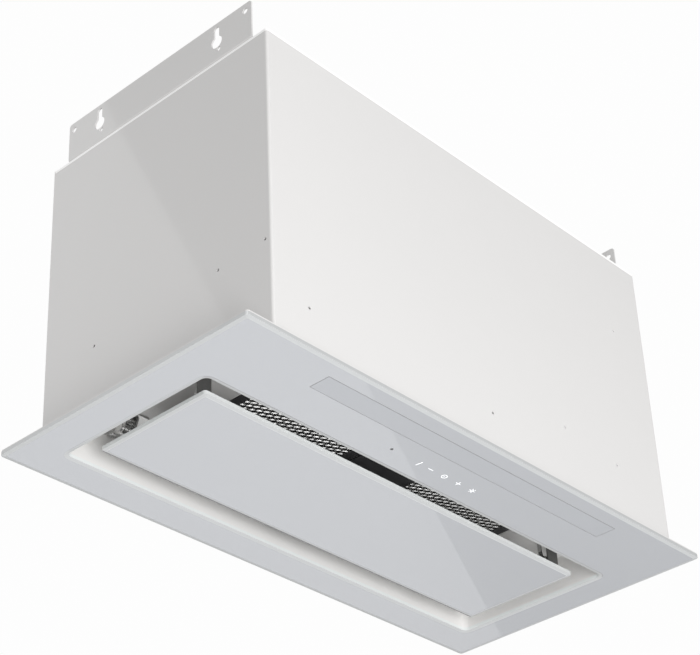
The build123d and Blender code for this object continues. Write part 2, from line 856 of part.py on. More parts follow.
def lamp_profile():
    """Aluminium channel over the lamp."""
    centre = (0, lamp_centre_y)
    channel = sheet(profile_length, profile_width, frame_top, profile_height, centre)
    hollow = (profile_length + 2, profile_width - 2 * profile_wall)
    return channel - sheet(*hollow, frame_top - 1, profile_height - profile_wall + 1, centre)


def lamp_board():
    """Board with a row of diodes under the channel's web."""
    top = frame_top + profile_height - profile_wall
    board = sheet(lamp_length, lamp_board_width, top - board_sheet, board_sheet, (0, lamp_centre_y))
    low = top - board_sheet - diode_height
    for x in diamond_row(diode_count, diode_pitch):
        board += sheet(diode_size, diode_size, low, diode_height, (x, lamp_centre_y))
    return board


def touch_board():
    """Board of the five touch keys, on the upper face of the glass."""
    return sheet(touch_length, touch_width, glass_thickness, board_sheet, (touch_centre_x, touch_centre_y))


def touch_housing():
    """Cap over the touch board."""
    centre = (touch_centre_x, touch_centre_y)
    length = touch_length + 2 * (touch_cut + touch_margin)
    width = touch_width + 2 * (touch_cut + touch_margin)
    cap = sheet(length, width, frame_top, touch_housing_height, centre, housing_corner)
    hollow = (length - 2 * housing_wall, width - 2 * housing_wall)
    inner_corner = housing_corner - housing_wall
    return cap - sheet(*hollow, frame_top - 1, touch_housing_height - housing_wall + 1, centre, inner_corner)


def sensor_lens():
    """Small dark window flush with the glass."""
    return rod((sensor_x, sensor_y, 0), (0, 0, 1), sensor_radius, glass_thickness)


def lamp_driver():
    """Closed lamp driver on the fascia frame, with a foot at each end."""
    centre = (driver_x, driver_y)
    case = sheet(driver_length, driver_width, frame_top, driver_height, centre, driver_corner)
    case = chamfer(case.edges().group_by(Axis.Z)[-1], driver_corner / 2)
    foot_length = driver_length + 2 * driver_foot
    return case + sheet(foot_length, driver_foot, frame_top, driver_foot_height, centre, driver_foot / 2 - 1)


# Blower


def scroll_outline(inset=0.0):
    """Spiral of three quarter arcs, centred on three corners of a small square, and a straight duct."""
    half = scroll_step / 2
    small = scroll_radius - inset
    middle = small + scroll_step
    large = middle + scroll_step
    top = scroll_mouth_z - blower_z
    tongue = tongue_offset + inset
    start_angle = degrees(acos((tongue + half) / small))
    first = CenterArc((-half, -half), small, start_angle, 180 - start_angle)
    second = CenterArc((half, -half), middle, 180, 90)
    third = CenterArc((half, half), large, 270, 90)
    back = Line(third @ 1, (half + large, top))
    lid = Line((half + large, top), (tongue, top))
    front = Line((tongue, top), first @ 0)
    face = make_face([first, second, third, back, lid, front])
    corner = face.vertices().sort_by_distance((first @ 0))[0]
    return fillet(corner, tongue_radius + inset)


def bell_mouth():
    """Rounded inlet lip that turns into the wheel's eye."""
    centre = Pos(-scroll_half_width + bell_radius, inlet_radius)
    inner = bell_radius - scroll_wall
    quarter = Circle(bell_radius) - Circle(inner)
    quarter = quarter & Pos(-bell_radius / 2, -bell_radius / 2) * Rectangle(bell_radius, bell_radius)
    return revolve(blower_section * centre * quarter, blower_axis)


def boss_places():
    """Screw bosses round the parting line of the scroll, just outside its wall."""
    half = scroll_step / 2
    centres = [(-half, -half), (half, -half), (half, half)]
    stand_off = boss_radius - boss_sink
    places = []
    for angle in boss_angles:
        quarter = int((angle - 90.0) // 90.0)
        reach = scroll_radius + quarter * scroll_step + stand_off
        y, z = centres[quarter]
        places.append((y + reach * cos(radians(angle)), z + reach * sin(radians(angle))))
    places.append((tongue_offset - stand_off, boss_duct_height))
    places.append((mouth_back - blower_y + stand_off, boss_duct_height))
    return places


def left_scroll_half():
    """Left half of the scroll: side wall with its inlet, half of the spiral wall and the bosses."""
    outline = scroll_outline()
    bosses = Sketch() + [Pos(*place) * Circle(boss_radius) for place in boss_places()]
    start = blower_plane.offset(-scroll_half_width)
    half = extrude(start * outline, amount=scroll_half_width)
    half += extrude(blower_plane.offset(-boss_height) * bosses, amount=boss_height)
    inner_plane = blower_plane.offset(-scroll_half_width + scroll_wall)
    hollow = extrude(inner_plane * scroll_outline(scroll_wall), amount=scroll_half_width)
    top = scroll_mouth_z - blower_z
    mouth_width = mouth_back - mouth_front - 2 * scroll_wall
    mouth = Pos((mouth_back + mouth_front) / 2 - blower_y, top) * Rectangle(mouth_width, 4 * scroll_wall)
    hollow += extrude(inner_plane * mouth, amount=scroll_half_width)
    half -= hollow
    half -= extrude(start * Circle(inlet_radius), amount=scroll_wall)
    half += bell_mouth()
    holes = Sketch() + [Pos(*place) * Circle(screw_shank_radius) for place in boss_places()]
    return half - extrude(blower_plane.offset(-boss_height) * holes, amount=boss_height)


def scroll_screws():
    """Screws that join the scroll halves, one group."""
    screws = []
    for y, z in boss_places():
        seat = (-boss_height, blower_y + y, blower_z + z)
        screws.append(screw(seat, (1, 0, 0), length=2 * boss_height))
    return Compound(children=screws)


def blade_section():
    """Forward-curved blade between the eye and the rim of the wheel, in a few chords a side."""
    outer = wheel_radius - wheel_ring / 2
    rise = blade_curve_radius
    across = (outer - blade_inner_radius) / 2
    middle = (outer + blade_inner_radius) / 2
    half_angle = degrees(asin(across / rise))
    turn = 2 * half_angle / blade_chords
    angles = [90 - half_angle + step * turn for step in range(blade_chords + 1)]
    convex = [(rise * cos(radians(angle)), rise * sin(radians(angle))) for angle in angles]
    inner = rise - blade_sheet
    concave = [(inner * cos(radians(angle)), inner * sin(radians(angle))) for angle in reversed(angles)]
    return Pos(middle, -blade_drop) * make_face(Polyline(*convex, *concave, close=True))


def impeller():
    """Double-inlet wheel: two rows of blades on one disc, an end ring each side and a bored hub."""
    blade = blade_section()
    step = 360.0 / blade_count
    blades = Sketch() + [Rot(0, 0, index * step) * blade for index in range(blade_count)]
    wheel = extrude(blower_plane.offset(-wheel_half_width) * blades, amount=2 * wheel_half_width)
    ring = Circle(wheel_radius) - Circle(blade_inner_radius)
    for start in (-wheel_half_width, wheel_half_width - wheel_ring):
        wheel += extrude(blower_plane.offset(start) * ring, amount=wheel_ring)
    disc = Circle(wheel_disc_radius)
    wheel += extrude(blower_plane.offset(-hub_disc / 2) * disc, amount=hub_disc)
    hub_length = 2 * (-motor_front_x - hub_motor_gap)
    wheel += extrude(blower_plane.offset(-hub_length / 2) * Circle(hub_radius), amount=hub_length)
    return wheel - extrude(blower_plane.offset(-hub_length) * Circle(shaft_radius), amount=2 * hub_length)


def motor_shaft():
    """Shaft from the motor through the hub."""
    length = shaft_depth - 2 * motor_front_x + shaft_end_gap
    return extrude(blower_plane.offset(motor_front_x - shaft_depth) * Circle(shaft_radius), amount=length)


def motor():
    """Closed motor: stepped casing with a bored front boss."""
    front = motor_front_x
    rear = motor_rear_x
    shoulder = motor_shoulder
    bore = shaft_radius + shaft_gap
    bore_end = front - shaft_depth - shaft_end_gap
    boss_end = front - motor_boss_height
    profile = Polyline(
        (front, bore),
        (front, motor_boss_radius),
        (boss_end, motor_boss_radius),
        (boss_end, motor_radius - shoulder),
        (boss_end - shoulder, motor_radius),
        (rear + shoulder, motor_radius),
        (rear, motor_radius - shoulder),
        (rear, 0),
        (bore_end, 0),
        (bore_end, bore),
        close=True,
    )
    return revolve(blower_section * make_face(profile), blower_axis)


def motor_bracket():
    """Spider that clamps the motor and screws to the side of the scroll."""
    ring = Circle(motor_radius + spider_ring) - Circle(motor_radius)
    root = motor_radius + spider_ring / 2
    arm = Pos((root + spider_reach) / 2, 0) * Rectangle(spider_reach - root, spider_arm_width)
    arm += Pos(spider_reach, 0) * Circle(spider_arm_width / 2)
    arm -= Pos(spider_reach, 0) * Circle(screw_shank_radius)
    step = 360.0 / spider_arms
    arms = [Rot(0, 0, spider_turn + index * step) * arm for index in range(spider_arms)]
    shape = Sketch() + ring + arms
    start = -scroll_half_width - spider_sheet
    return extrude(blower_plane.offset(start) * shape, amount=spider_sheet)


def grommets():
    """Rubber bushes between the scroll and its hangers, one group."""
    bushes = []
    for side in (-1, 1):
        for y, z in grommet_places:
            start = (side * scroll_half_width, y, z)
            bushes.append(rod(start, (side, 0, 0), grommet_radius, grommet_length))
    return Compound(children=bushes)


def left_blower_hanger():
    """Angle from the top plate down to the rubber bushes of the scroll."""
    low = grommet_places[0][1] - hanger_margin
    front = grommet_places[0][0] - hanger_margin
    back = grommet_places[1][0] + hanger_margin
    outline = Rectangle(back - front, plate_bottom - low)
    outline = Pos((front + back) / 2, (low + plate_bottom) / 2) * outline
    outline = fillet(outline.vertices().sort_by(Axis.Y)[:2], hanger_corner)
    leg = upright(outline, -grommet_outer_x - hanger_sheet, hanger_sheet)
    centre = (-grommet_outer_x - hanger_foot / 2, (front + back) / 2)
    return leg + sheet(hanger_foot, back - front, plate_bottom - hanger_sheet, hanger_sheet, centre)


# Outlet


def transition(grow):
    """Loft from the rectangular mouth of the scroll to the round outlet."""
    length = 2 * (scroll_half_width - scroll_wall + grow)
    width = mouth_back - mouth_front - 2 * scroll_wall + 2 * grow
    mouth = RectangleRounded(length, width, mouth_corner + grow)
    low = Pos(0, (mouth_back + mouth_front) / 2, scroll_mouth_z) * mouth
    high = Pos(0, outlet_y, plate_bottom) * Circle(outlet_inner_radius + grow - scroll_wall)
    return loft([low, high])


def outlet_adapter():
    """Duct that turns the rectangular mouth of the blower into the round outlet."""
    return transition(scroll_wall) - transition(0)


def duct_collar():
    """Flanged collar for the duct, with a ledge inside that the flaps rest on."""
    base = (0, outlet_y, casing_top)
    collar = tube(base, (0, 0, 1), outlet_radius, outlet_inner_radius, collar_height)
    collar += tube(base, (0, 0, 1), collar_flange_radius, outlet_inner_radius, collar_flange)
    seat = (0, outlet_y, seat_z)
    collar += tube(seat, (0, 0, 1), outlet_inner_radius + 1, outlet_inner_radius - seat_width, seat_sheet)
    start = (-outlet_radius - 1, outlet_y, flap_axis_z)
    return collar - rod(start, (1, 0, 0), flap_pin_radius, 2 * outlet_radius + 2)


def flap_pin():
    """Pin across the collar that both flaps turn on."""
    start = (-outlet_radius, outlet_y, flap_axis_z)
    return rod(start, (1, 0, 0), flap_pin_radius, 2 * outlet_radius)


def flap(own_x, other_x, side):
    """Half-round flap with two knuckles of its own and two notches for the other's."""
    radius = outlet_inner_radius - flap_gap
    half = Circle(radius) & Pos(0, side * (radius + flap_meeting_gap) / 2) * Rectangle(3 * radius, radius)
    notch = Rectangle(flap_knuckle_length + 2 * flap_gap, 2 * (flap_knuckle_radius + flap_gap))
    for x in (-other_x, other_x):
        half -= Pos(x, 0) * notch
    leaf = extrude(Pos(0, outlet_y, flap_bottom) * half, amount=flap_sheet)
    for x in (-own_x, own_x):
        start = (x - flap_knuckle_length / 2, outlet_y, flap_axis_z)
        leaf += rod(start, (1, 0, 0), flap_knuckle_radius, flap_knuckle_length)
        leaf -= rod(start, (1, 0, 0), flap_pin_radius + flap_running_gap, flap_knuckle_length)
    return leaf


# Wiring parts


def box_body(length, depth, height, bottom, wall_gap):
    """Block of the control box against the front sheet."""
    centre = (box_x, inner_front + wall_gap + depth / 2)
    return sheet(length, depth, bottom, height, centre)


def control_box():
    """Open plastic box on the front sheet that holds the power board."""
    box = box_body(box_length, box_depth, box_height, box_bottom, 0)
    inside = (box_length - 2 * box_wall, box_depth - 2 * box_wall, box_height)
    return box - box_body(*inside, box_bottom + box_wall, box_wall)


def control_box_cover():
    """Lid of the control box."""
    cover = box_body(box_length, box_depth, box_wall, box_bottom + box_height, 0)
    return chamfer(cover.edges().group_by(Axis.Z)[-1], box_chamfer)


def power_board():
    """Board in the control box, on two rails."""
    bottom = box_bottom + box_wall
    wall_gap = box_wall + rail_gap
    length = box_length - 2 * wall_gap
    depth = box_depth - 2 * wall_gap
    board = box_body(length, depth, board_sheet, bottom + rail_height, wall_gap)
    for shift in (-rail_spread / 2, rail_spread / 2):
        board += Pos(shift, 0) * box_body(rail_width, depth, rail_height, bottom, wall_gap)
    return board


def capacitor():
    """Motor capacitor held to the front sheet by a clip."""
    x, z = front_fixing_places[-1]
    y = inner_front + capacitor_wall_gap + capacitor_radius
    can = rod((x, y, z - capacitor_length / 2), (0, 0, 1), capacitor_radius, capacitor_length)
    can = chamfer(can.edges(), capacitor_chamfer)
    low = (x, y, z - clip_height / 2)
    clip = tube(low, (0, 0, 1), capacitor_radius + clip_strip, capacitor_radius - clip_strip / 2, clip_height)
    foot = cross(Pos(x, z) * Rectangle(clip_foot, clip_height), inner_front, capacitor_wall_gap)
    return can + clip + foot


def cable_gland():
    """Gland for the mains lead on the top plate: a hexagon, a dome nut and a nut under the plate."""
    base = (gland_x, gland_y)
    dome_bottom = casing_top + gland_hexagon
    dome_top = dome_bottom + gland_dome
    neck = gland_radius - gland_step
    nut = RegularPolygon(gland_radius + gland_step, 6)
    gland = rod((*base, plate_bottom - gland_nut), (0, 0, 1), neck, dome_top - plate_bottom)
    gland += extrude(Pos(*base, casing_top) * nut, amount=gland_hexagon)
    gland += extrude(Pos(*base, plate_bottom) * nut, amount=-gland_nut)
    dome = Cone(gland_radius, neck, gland_dome, align=(Align.CENTER, Align.CENTER, Align.MIN))
    gland += Pos(*base, dome_bottom) * dome
    return gland - rod((*base, plate_bottom - gland_nut - 1), (0, 0, 1), gland_bore, dome_top)


def all_parts():
    """Every sub-part of the hood under its name."""
    left_parts = {
        "hanging_bracket": left_hanging_bracket(),
        "hinge_arm": left_hinge_arm(),
        "hinge_bracket": left_hinge_bracket(),
        "catch_spring": left_catch_spring(),
        "panel_stop": left_panel_stop(),
        "filter_frame": left_filter_frame(),
        "filter_mesh": left_filter_mesh(),
        "filter_core": left_filter_core(),
        "filter_guard": left_filter_guard(),
        "filter_spring": left_filter_spring(),
        "scroll_half": left_scroll_half(),
        "blower_hanger": left_blower_hanger(),
    }
    parts = {
        "body_shell": body_shell(),
        "back_panel": back_panel(),
        "top_plate": top_plate(),
        "casing_screws": casing_screws(),
        "fascia_glass": fascia_glass(),
        "fascia_frame": fascia_frame(),
        "recess_pan": recess_pan(),
        "centre_cover": centre_cover(),
        "panel_glass": panel_glass(),
        "panel_backing": panel_backing(),
        "hinge_pins": hinge_pins(),
        "hinge_screws": hinge_screws(),
        "catch_studs": catch_studs(),
        "lamp_diffuser": lamp_diffuser(),
        "lamp_profile": lamp_profile(),
        "lamp_board": lamp_board(),
        "touch_board": touch_board(),
        "touch_housing": touch_housing(),
        "sensor_lens": sensor_lens(),
        "lamp_driver": lamp_driver(),
        "scroll_screws": scroll_screws(),
        "impeller": impeller(),
        "motor_shaft": motor_shaft(),
        "motor": motor(),
        "motor_bracket": motor_bracket(),
        "grommets": grommets(),
        "outlet_adapter": outlet_adapter(),
        "duct_collar": duct_collar(),
        "flap_pin": flap_pin(),
        "front_flap": flap(front_knuckle_x, rear_knuckle_x, -1),
        "rear_flap": flap(rear_knuckle_x, front_knuckle_x, 1),
        "control_box": control_box(),
        "control_box_cover": control_box_cover(),
        "power_board": power_board(),
        "capacitor": capacitor(),
        "cable_gland": cable_gland(),
    }
    for name, part in left_parts.items():
        parts["left_" + name] = part
        parts["right_" + name] = mirrored(part)
    return parts


os.makedirs("parts", exist_ok=True)
for name, part in all_parts().items():
    export_step(part, "parts/" + name + ".step")
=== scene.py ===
import json
import math

import bmesh
import bpy
from bpy.props import FloatProperty, FloatVectorProperty, IntProperty, PointerProperty
from mathutils import Matrix, Vector


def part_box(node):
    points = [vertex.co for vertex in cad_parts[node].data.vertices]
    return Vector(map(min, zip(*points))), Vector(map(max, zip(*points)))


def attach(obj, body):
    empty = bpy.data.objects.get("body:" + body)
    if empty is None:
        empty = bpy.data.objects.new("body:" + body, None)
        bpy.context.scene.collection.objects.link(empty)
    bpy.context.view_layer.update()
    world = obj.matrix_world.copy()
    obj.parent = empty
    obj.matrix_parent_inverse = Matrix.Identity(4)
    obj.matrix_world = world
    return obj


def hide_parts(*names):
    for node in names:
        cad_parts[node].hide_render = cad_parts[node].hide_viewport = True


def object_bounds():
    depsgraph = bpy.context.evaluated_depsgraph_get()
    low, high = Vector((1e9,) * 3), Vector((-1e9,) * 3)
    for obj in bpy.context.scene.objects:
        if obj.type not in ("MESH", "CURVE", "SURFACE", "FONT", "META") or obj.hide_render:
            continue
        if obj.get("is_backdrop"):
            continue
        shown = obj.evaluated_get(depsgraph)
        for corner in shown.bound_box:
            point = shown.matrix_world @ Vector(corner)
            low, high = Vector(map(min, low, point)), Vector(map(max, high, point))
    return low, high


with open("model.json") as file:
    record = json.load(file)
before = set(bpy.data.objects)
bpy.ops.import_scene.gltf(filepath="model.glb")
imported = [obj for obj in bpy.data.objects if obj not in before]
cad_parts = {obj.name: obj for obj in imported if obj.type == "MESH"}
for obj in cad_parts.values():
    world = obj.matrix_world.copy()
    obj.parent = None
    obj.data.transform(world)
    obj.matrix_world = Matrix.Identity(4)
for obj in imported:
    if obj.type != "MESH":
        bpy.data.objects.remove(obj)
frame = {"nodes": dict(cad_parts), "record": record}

bl_info = {
    "name": "Built-in Range Hood",
    "version": (1, 0, 0),
    "blender": (4, 5, 0),
    "location": "View3D > Sidebar > Hood",
    "description": "Dresses the built-in range hood with its finishes, fine pieces, light and camera",
    "category": "Object",
}

PHOTO_WIDTH = 700
SENSOR_WIDTH = 36.0
MM = 0.001
FULL_TURN = 2.0 * math.pi
X_AXIS = Vector((1.0, 0.0, 0.0))
Y_AXIS = Vector((0.0, 1.0, 0.0))
Z_AXIS = Vector((0.0, 0.0, 1.0))
NO_STRETCH = (1.0, 1.0, 1.0)
BLACK = (0.0, 0.0, 0.0)

# Heights above the lower face of the glass where its polish, the line at the bevel's foot and the bevel end
POLISH_END = 0.03 * MM
LINE_END = 0.14 * MM
BEVEL_END = 0.8 * MM

# How far the other marks of the finishes reach in from an edge, or out from it, the painted highlight on the
# casing's rim among them
FRONT_EDGE = 0.5 * MM
BORDER_REACH = 1.0 * MM
SEAL_INSET = 3.6 * MM
# Depth below the casing's top of the painted highlight along its folded rim
PAINTED_HIGHLIGHT_DEPTH = 2.4 * MM

# Half section of a domed screw head, as shares of its radius and its height, and its shank's two radii
HEAD_PROFILE = ((0.0, 0.0), (1.0, 0.0), (1.0, 0.35), (0.82, 0.76), (0.5, 0.95), (0.0, 1.0))
SHANK_TIP = 0.45
SHANK_NECK = 0.5

# How far in front of the back panel a screw may start and still belong to it
BACK_SCREW_REACH = 10.0 * MM

# Slices of one strand of a filter's face, and its lean at the bonds as a share of the lean between them
STRAND_SLICES = 4
BOND_LEAN = 0.75

# Steps round a ring of the touch symbols, pieces of the floor's side, and how near two merged points lie
RING_STEPS = 24
FLOOR_SEGMENTS = 4
MERGE_DISTANCE = 0.001 * MM

# Places and sides of the soft lights, and the long edges of the panels that the glass and the casing mirror
FRONT_LIGHT_PLACE = (0.5, -4.0, 0.9)
FRONT_LIGHT_SIDE = 3.2
CORNER_LIGHT_PLACE = (-1.2, -3.0, -1.85)
CORNER_LIGHT_SIDE = 2.4
FLOOR_PANEL_EDGE = (Vector((2.25, 1.94, -1.97)), Vector((3.78, 2.72, -1.97)))
WALL_PANEL_EDGE = (Vector((-2.41, 2.5, 2.89)), Vector((-2.74, 2.5, 2.52)))
PANEL_LENGTH = 4.0
PANEL_DEPTH = 2.4


# Sizes and colours

class PaintSettings(bpy.types.PropertyGroup):
    """Colours of the hood's main surfaces."""

    steel: FloatVectorProperty(
        name="Powder coat", description="Colour of the painted casing",
        subtype="COLOR", size=3, min=0.0, max=1.0, default=(0.815, 0.806, 0.798))
    glass: FloatVectorProperty(
        name="Back-painted glass", description="Colour of the fascia and the suction panel",
        subtype="COLOR", size=3, min=0.0, max=1.0, default=(0.66, 0.678, 0.712))
    edge: FloatVectorProperty(
        name="Ground edge", description="Colour of the ground bevels of the glass",
        subtype="COLOR", size=3, min=0.0, max=1.0, default=(0.715, 0.73, 0.735))
    # Paler than the casing's powder coat: painted light standing in for more light inside the recess
    recess: FloatVectorProperty(
        name="Recess", description="Colour of the painted recess behind the fascia",
        subtype="COLOR", size=3, min=0.0, max=1.0, default=(0.94, 0.93, 0.915))
    frame: FloatVectorProperty(
        name="Black steel", description="Colour of the dark painted steel in the recess",
        subtype="COLOR", size=3, min=0.0, max=1.0, default=(0.060, 0.060, 0.063))


class FilterSettings(bpy.types.PropertyGroup):
    """The expanded metal on the face of each grease filter."""

    long_way: FloatProperty(
        name="Long way", description="Pitch of the diamonds along the filter",
        subtype="DISTANCE", unit="LENGTH", default=12.2 * MM, min=4.0 * MM)
    short_way: FloatProperty(
        name="Short way", description="Distance between two rows of strands",
        subtype="DISTANCE", unit="LENGTH", default=2.95 * MM, min=1.5 * MM)
    strand: FloatProperty(
        name="Strand", description="Width of one strand",
        subtype="DISTANCE", unit="LENGTH", default=1.15 * MM, min=0.4 * MM)
    sheet: FloatProperty(
        name="Sheet", description="Thickness of the sheet before it is stretched",
        subtype="DISTANCE", unit="LENGTH", default=0.45 * MM, min=0.1 * MM)
    lean: FloatProperty(
        name="Lean", description="Lean of the strands out of the sheet, towards the hood's front",
        subtype="ANGLE", unit="ROTATION", default=math.radians(52.0))


class TouchSettings(bpy.types.PropertyGroup):
    """The lit symbols of the touch keys."""

    places: FloatVectorProperty(
        name="Places", description="Places of the five symbols along the hood, from left to right",
        unit="LENGTH", size=5, default=(-32.4 * MM, -17.3 * MM, 0.7 * MM, 19.1 * MM, 38.1 * MM))
    row: FloatProperty(
        name="Row", description="Place of the row of symbols across the hood",
        subtype="DISTANCE", unit="LENGTH", default=-85.6 * MM)
    height: FloatProperty(
        name="Height", description="Height of one symbol",
        subtype="DISTANCE", unit="LENGTH", default=6.6 * MM, min=2.0 * MM)
    line: FloatProperty(
        name="Line", description="Width of a symbol's lines",
        subtype="DISTANCE", unit="LENGTH", default=0.52 * MM, min=0.2 * MM)
    print_height: FloatProperty(
        name="Print", description="How far a symbol stands out of the glass",
        subtype="DISTANCE", unit="LENGTH", default=0.02 * MM, min=0.005 * MM)
    glow: FloatProperty(
        name="Glow", description="Strength of the light from the symbols",
        default=1.1, min=0.0)


class ScrewSettings(bpy.types.PropertyGroup):
    """The cross-recess screws of the casing and the hinge feet."""

    casing_head: FloatProperty(
        name="Casing heads", description="Height of the heads of the casing's screws",
        subtype="DISTANCE", unit="LENGTH", default=1.9 * MM, min=0.5 * MM)
    hinge_head: FloatProperty(
        name="Hinge heads", description="Height of the heads of the hinge feet's screws",
        subtype="DISTANCE", unit="LENGTH", default=1.0 * MM, min=0.5 * MM)
    sides: IntProperty(
        name="Sides", description="Faces round one screw head", default=24, min=12)
    slot_width: FloatProperty(
        name="Recess width",
        description="Width of one arm of the cross recess, as a share of the head's radius",
        default=0.26, min=0.1, max=0.5)
    slot_reach: FloatProperty(
        name="Recess reach",
        description="Half length of one arm of the cross recess, as a share of the head's radius",
        default=0.62, min=0.2, max=0.9)
    slot_depth: FloatProperty(
        name="Recess depth",
        description="Depth of the cross recess, as a share of the head's height",
        default=0.55, min=0.2, max=0.9)


class StageSettings(bpy.types.PropertyGroup):
    """Floor, light and camera."""

    floor_height: FloatProperty(
        name="Floor height", description="Height of the floor below the fascia",
        subtype="DISTANCE", unit="LENGTH", default=-3.2)
    floor_size: FloatProperty(
        name="Floor size", description="Side of the square floor",
        subtype="DISTANCE", unit="LENGTH", default=30.0, min=4.0)
    backdrop: FloatProperty(
        name="Backdrop", description="Brightness of the white surroundings as the camera sees them",
        default=0.985, min=0.0)
    surround: FloatProperty(
        name="Surround", description="Brightness of the white surroundings as the hood sees them",
        default=0.40, min=0.0)
    floor_sheen: FloatProperty(
        name="Floor sheen", description="Brightness of the soft panel that the glass mirrors from below",
        default=0.45, min=0.0)
    wall_sheen: FloatProperty(
        name="Wall sheen", description="Brightness of the soft panel that the casing's end mirrors",
        default=0.85, min=0.0)
    front_light: FloatProperty(
        name="Front light", description="Power of the large soft light in front of the hood",
        subtype="POWER", unit="POWER", default=22.0, min=0.0)
    corner_light: FloatProperty(
        name="Corner light", description="Power of the soft light below the hood's near corner",
        subtype="POWER", unit="POWER", default=110.0, min=0.0)
    place: FloatVectorProperty(
        name="Camera place", description="Where the camera stands",
        subtype="TRANSLATION", unit="LENGTH", size=3, default=(-1.17736, -1.02172, -0.83486))
    heading: FloatProperty(
        name="Heading", description="Turn of the view from the hood's depth towards its length",
        subtype="ANGLE", unit="ROTATION", default=math.radians(48.80))
    climb: FloatProperty(
        name="Climb", description="How steeply the view looks up",
        subtype="ANGLE", unit="ROTATION", default=math.radians(31.93))
    roll: FloatProperty(
        name="Roll", description="Turn of the camera about its view",
        subtype="ANGLE", unit="ROTATION", default=math.radians(-2.86))
    focal_length: FloatProperty(
        name="Focal length", description="Focal length of the lens, in millimetres",
        subtype="DISTANCE_CAMERA", unit="CAMERA", default=102.04, min=10.0)
    axis_offset: FloatVectorProperty(
        name="Axis offset",
        description="Where the lens axis meets the image, in pixels right of and below its middle",
        size=2, default=(6.74, 53.54))


# Finishes

class Value:
    """A number in a finish, so that maths on it reads as Python."""

    def __init__(self, finish, socket):
        self.finish = finish
        self.socket = socket

    def __add__(self, other):
        return self.finish.maths("ADD", self, other)

    def __sub__(self, other):
        return self.finish.maths("SUBTRACT", self, other)

    def __rsub__(self, other):
        return self.finish.maths("SUBTRACT", other, self)

    def __mul__(self, other):
        return self.finish.maths("MULTIPLY", self, other)

    def __pow__(self, other):
        return self.finish.maths("POWER", self, other)

    def __gt__(self, other):
        return self.finish.maths("GREATER_THAN", self, other)

    def __abs__(self):
        return self.finish.maths("ABSOLUTE", self, 0.0)

    __radd__ = __add__
    __rmul__ = __mul__


class Finish:
    """A procedural material, or the world's light, and the nodes it is made of."""

    def __init__(self, name, data=None):
        self.data = data or bpy.data.materials.new(name)
        self.data.use_nodes = True
        self.tree = self.data.node_tree
        self.tree.nodes.clear()

    def node(self, kind, settings, sockets):
        """Adds a node: its settings are set first, then the values or links of its sockets."""
        made = self.tree.nodes.new(kind)
        for name, value in settings.items():
            if name == "stops":
                self.set_stops(made.color_ramp, value)
            else:
                setattr(made, name, value)
        for name, value in sockets.items():
            if isinstance(value, Value):
                self.tree.links.new(value.socket, made.inputs[name])
            else:
                made.inputs[name].default_value = value
        return made

    def set_stops(self, ramp, stops):
        """Gives a colour ramp its stops, each a position and a grey level."""
        while len(ramp.elements) < len(stops):
            ramp.elements.new(1.0)
        for element, (position, level) in zip(ramp.elements, stops):
            element.position = position
            element.color = (level, level, level, 1.0)

    def output(self, made, name):
        """One output of a node, ready for maths."""
        return Value(self, made.outputs[name])

    def maths(self, operation, first, second):
        """The result of one operation on two numbers."""
        made = self.node("ShaderNodeMath", {"operation": operation}, {0: first, 1: second})
        return self.output(made, 0)

    def place(self, stretch=NO_STRETCH, turn=0.0):
        """Object coordinates, stretched along the axes and turned about the vertical one."""
        here = self.output(self.node("ShaderNodeTexCoord", {}, {}), "Object")
        if stretch == NO_STRETCH and turn == 0.0:
            return here
        sockets = {"Vector": here, "Scale": stretch, "Rotation": (0.0, 0.0, turn)}
        return self.output(self.node("ShaderNodeMapping", {}, sockets), "Vector")

    def axis(self, name):
        """One object coordinate."""
        return self.output(self.node("ShaderNodeSeparateXYZ", {}, {"Vector": self.place()}), name)

    def outside(self, middle, reach):
        """One where the place lies outside a rectangle in X and Y, and nothing inside it."""
        past_x = abs(self.axis("X") - middle.x) - reach.x
        past_y = abs(self.axis("Y") - middle.y) - reach.y
        return self.maths("MAXIMUM", past_x, past_y) > 0.0

    def noise(self, scale, detail=2.0, roughness=0.5, stretch=NO_STRETCH):
        """Soft clouds from 0 to 1."""
        sockets = {"Vector": self.place(stretch), "Scale": scale, "Detail": detail, "Roughness": roughness}
        return self.output(self.node("ShaderNodeTexNoise", {}, sockets), "Fac")

    def cells(self, scale, output="Distance"):
        """A patchwork of cells: the distance to each cell's middle, or a colour for each cell."""
        sockets = {"Vector": self.place(), "Scale": scale}
        return self.output(self.node("ShaderNodeTexVoronoi", {}, sockets), output)

    def waves(self, scale, distortion, turn=0.0):
        """Bands across the length, from 0 to 1."""
        settings = {"wave_type": "BANDS", "bands_direction": "X"}
        sockets = {"Vector": self.place(turn=turn), "Scale": scale, "Distortion": distortion}
        return self.output(self.node("ShaderNodeTexWave", settings, sockets), "Fac")

    def ramp(self, value, stops):
        """A grey that follows the stops."""
        return self.output(self.node("ShaderNodeValToRGB", {"stops": stops}, {"Fac": value}), "Color")

    def mix(self, amount, first, second):
        """A colour between two plain colours."""
        return self.blend(amount, (*first, 1.0), (*second, 1.0))

    def blend(self, amount, first, second):
        """A colour between two colours that may vary themselves."""
        made = self.node("ShaderNodeMix", {"data_type": "RGBA"}, {0: amount, 6: first, 7: second})
        return self.output(made, 2)

    def bump(self, height, depth):
        """A normal for a relief of the given depth."""
        sockets = {"Height": height, "Distance": depth, "Strength": 1.0}
        return self.output(self.node("ShaderNodeBump", {}, sockets), "Normal")

    def shade(self, sockets):
        """Ends the finish in one surface shader and returns its material."""
        surface = self.output(self.node("ShaderNodeBsdfPrincipled", {}, sockets), "BSDF")
        self.node("ShaderNodeOutputMaterial", {}, {"Surface": surface})
        return self.data


def shade_of(colour, factor):
    """The colour made lighter or darker by a factor."""
    return tuple(min(1.0, part * factor) for part in colour)


def grown_box(node, margin):
    """The middle of a frame node's box and its half size, grown by a margin in X and Y."""
    low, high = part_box(node)
    return 0.5 * (low + high), 0.5 * (high - low) + margin * (X_AXIS + Y_AXIS)


